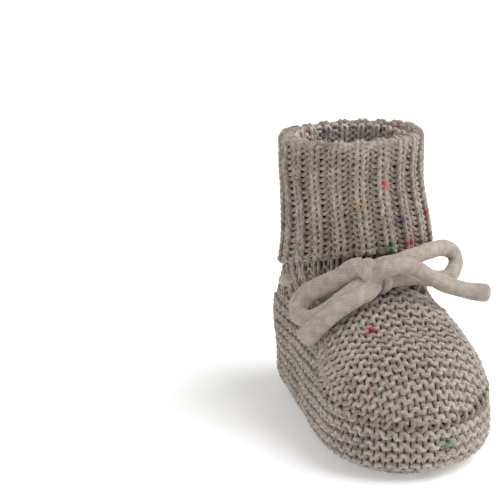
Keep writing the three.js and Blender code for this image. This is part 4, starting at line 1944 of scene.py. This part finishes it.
@dataclass
class Studio:
    """The camera, the floor and the lights."""

    azimuth: float = radians(-20.4)
    elevation: float = radians(17.74)
    roll: float = radians(-1.53)
    distance: float = 0.4304
    lens: float = 90.6
    target: Point = (0.0, 8.25 * MM, 46 * MM)
    framing: tuple[float, float] = (-38.75 * MM, 10.73 * MM)
    floor_radii: tuple[float, ...] = (0.02, 0.15, 0.4, 0.9, 2.0, 4.0)
    curve: float = 1.0
    wall: float = 1.0
    surround: float = 0.33
    suns: tuple[Sun, ...] = (
        Sun("key", (0.62, -0.3, 0.95), radians(50), 3.0, (1.0, 0.99, 0.975)),
        Sun("fill", (-0.5, -0.6, 0.9), radians(60), 0.12),
    )

    def camera(self) -> bpy.types.Object:
        """Makes the camera; it looks past the left of the bootie, which stands right of the middle.

        Returns:
            The camera.
        """
        level, rise = cos(self.elevation), sin(self.elevation)
        back = Vector((sin(self.azimuth) * level, -cos(self.azimuth) * level, rise))
        right = Vector((cos(self.azimuth), sin(self.azimuth), 0))
        up = back.cross(right)
        place = Vector(self.target) + back * self.distance
        aim = Vector(self.target) + right * self.framing[0] + up * self.framing[1]
        data = bpy.data.cameras.new("camera")
        data.lens = self.lens
        data.clip_start = 0.01
        camera = bpy.data.objects.new("camera", data)
        camera.location = place
        upright = (aim - place).to_track_quat("-Z", "Y")
        camera.rotation_euler = (upright @ Quaternion((0, 0, 1), self.roll)).to_euler()
        bpy.context.scene.collection.objects.link(camera)
        bpy.context.scene.camera = camera
        return camera

    def floor(self) -> bpy.types.Object:
        """Makes a floor that curves up into a wall far away all round.

        Returns:
            The floor.
        """
        flat = self.floor_radii[-1]
        profile = [(r, 0.0) for r in self.floor_radii]
        for turn in np.linspace(0.1, pi / 2, 12):
            profile.append((flat + self.curve * sin(turn), self.curve * (1 - cos(turn))))
        profile.append((flat + self.curve, self.curve + self.wall))
        around = np.linspace(0, 2 * pi, 96, endpoint=False)
        points = [(r * cos(a), r * sin(a), z) for r, z in profile for a in around]
        n = len(around)
        faces = [tuple(range(n))]
        faces += [(k * n + i, (k + 1) * n + i, (k + 1) * n + (i + 1) % n, k * n + (i + 1) % n)
                  for k in range(len(profile) - 1) for i in range(n)]
        mesh = bpy.data.meshes.new("studio_floor")
        mesh.from_pydata(points, [], faces)
        mesh.shade_smooth()
        mesh.materials.append(FloorFinish().make())
        floor = bpy.data.objects.new("studio_floor", mesh)
        bpy.context.scene.collection.objects.link(floor)
        return floor

    def lights(self) -> None:
        """Lights the scene: a pale surround, a wide key from above on the right and a faint fill."""
        world = bpy.data.worlds.new("surround")
        world.use_nodes = True
        background = world.node_tree.nodes["Background"]
        background.inputs["Color"].default_value = (1.0, 1.0, 1.0, 1.0)
        background.inputs["Strength"].default_value = self.surround
        bpy.context.scene.world = world
        for sun in self.suns:
            sun.shine()

    def make(self) -> None:
        """Sets the studio up."""
        self.camera()
        self.floor()
        self.lights()
        bpy.context.scene.view_settings.view_transform = "Standard"


GARTER = Gauge(Stitch.GARTER, width=3.9 * MM, height=1.85 * MM, yarn=0.79 * MM, depth=1.2 * MM)
SOLE_GARTER = Gauge(Stitch.GARTER, width=3.9 * MM, height=1.9 * MM, yarn=0.68 * MM, depth=1.25 * MM,
                    relief=0.5 * MM)
CUFF_RIB = Gauge(Stitch.RIB, width=4 * MM, height=2.1 * MM, yarn=0.78 * MM, depth=1.85 * MM, reach=0.82,
                 relief=0.45 * MM, wale=1.3 * MM, tight_row=0)
LEG_RIB = Gauge(Stitch.RIB, width=3.5 * MM, height=2.1 * MM, yarn=0.7 * MM, depth=1.5 * MM, reach=0.82,
                relief=0.45 * MM, wale=0.4 * MM, steps=11)


def main() -> None:
    """Builds the bootie and its studio, piece by piece."""
    logging.basicConfig(level=logging.INFO, format="%(message)s")
    form = BootieForm()
    finishes = Finishes.mixed()
    Studio().make()
    log.info("studio: camera, floor and lights")
    band = EyeletBand(form, finishes, "ankle_band", "foot", LEG_RIB, "rib_wool", 5, lining_depth=1.8 * MM)
    cuff = Cuff(form, finishes, "cuff", "turned_cuff", CUFF_RIB, "rib_wool", 7)
    for piece in Tie(form, finishes, band).make():
        log.info("tie: %s", piece.name)
    panels = [
        SoleHalf(form, finishes, "sole_left_half", "foot", SOLE_GARTER, "garter_wool", 1, side=-1),
        SoleHalf(form, finishes, "sole_right_half", "foot", SOLE_GARTER, "garter_wool", 2, side=1),
        SideBand(form, finishes, "side_band", "foot", GARTER, "garter_wool", 3),
        Vamp(form, finishes, "vamp", "foot", GARTER, "garter_wool", 4),
        band,
        Leg(form, finishes, "leg_rib", "foot", LEG_RIB, "rib_wool", 6, lining_depth=1.5 * MM),
        LegInside(form, finishes, "leg_inside", "foot", replace(LEG_RIB, depth=0.5 * MM), "rib_wool", 8),
        cuff,
    ]
    for panel in panels:
        for piece in panel.make():
            log.info("panel: %s, %d faces", piece.name, len(piece.data.polygons))
    for piece in Seams(form, finishes, cuff).make():
        log.info("seam: %s", piece.name)


if __name__ == "__main__":
    main()
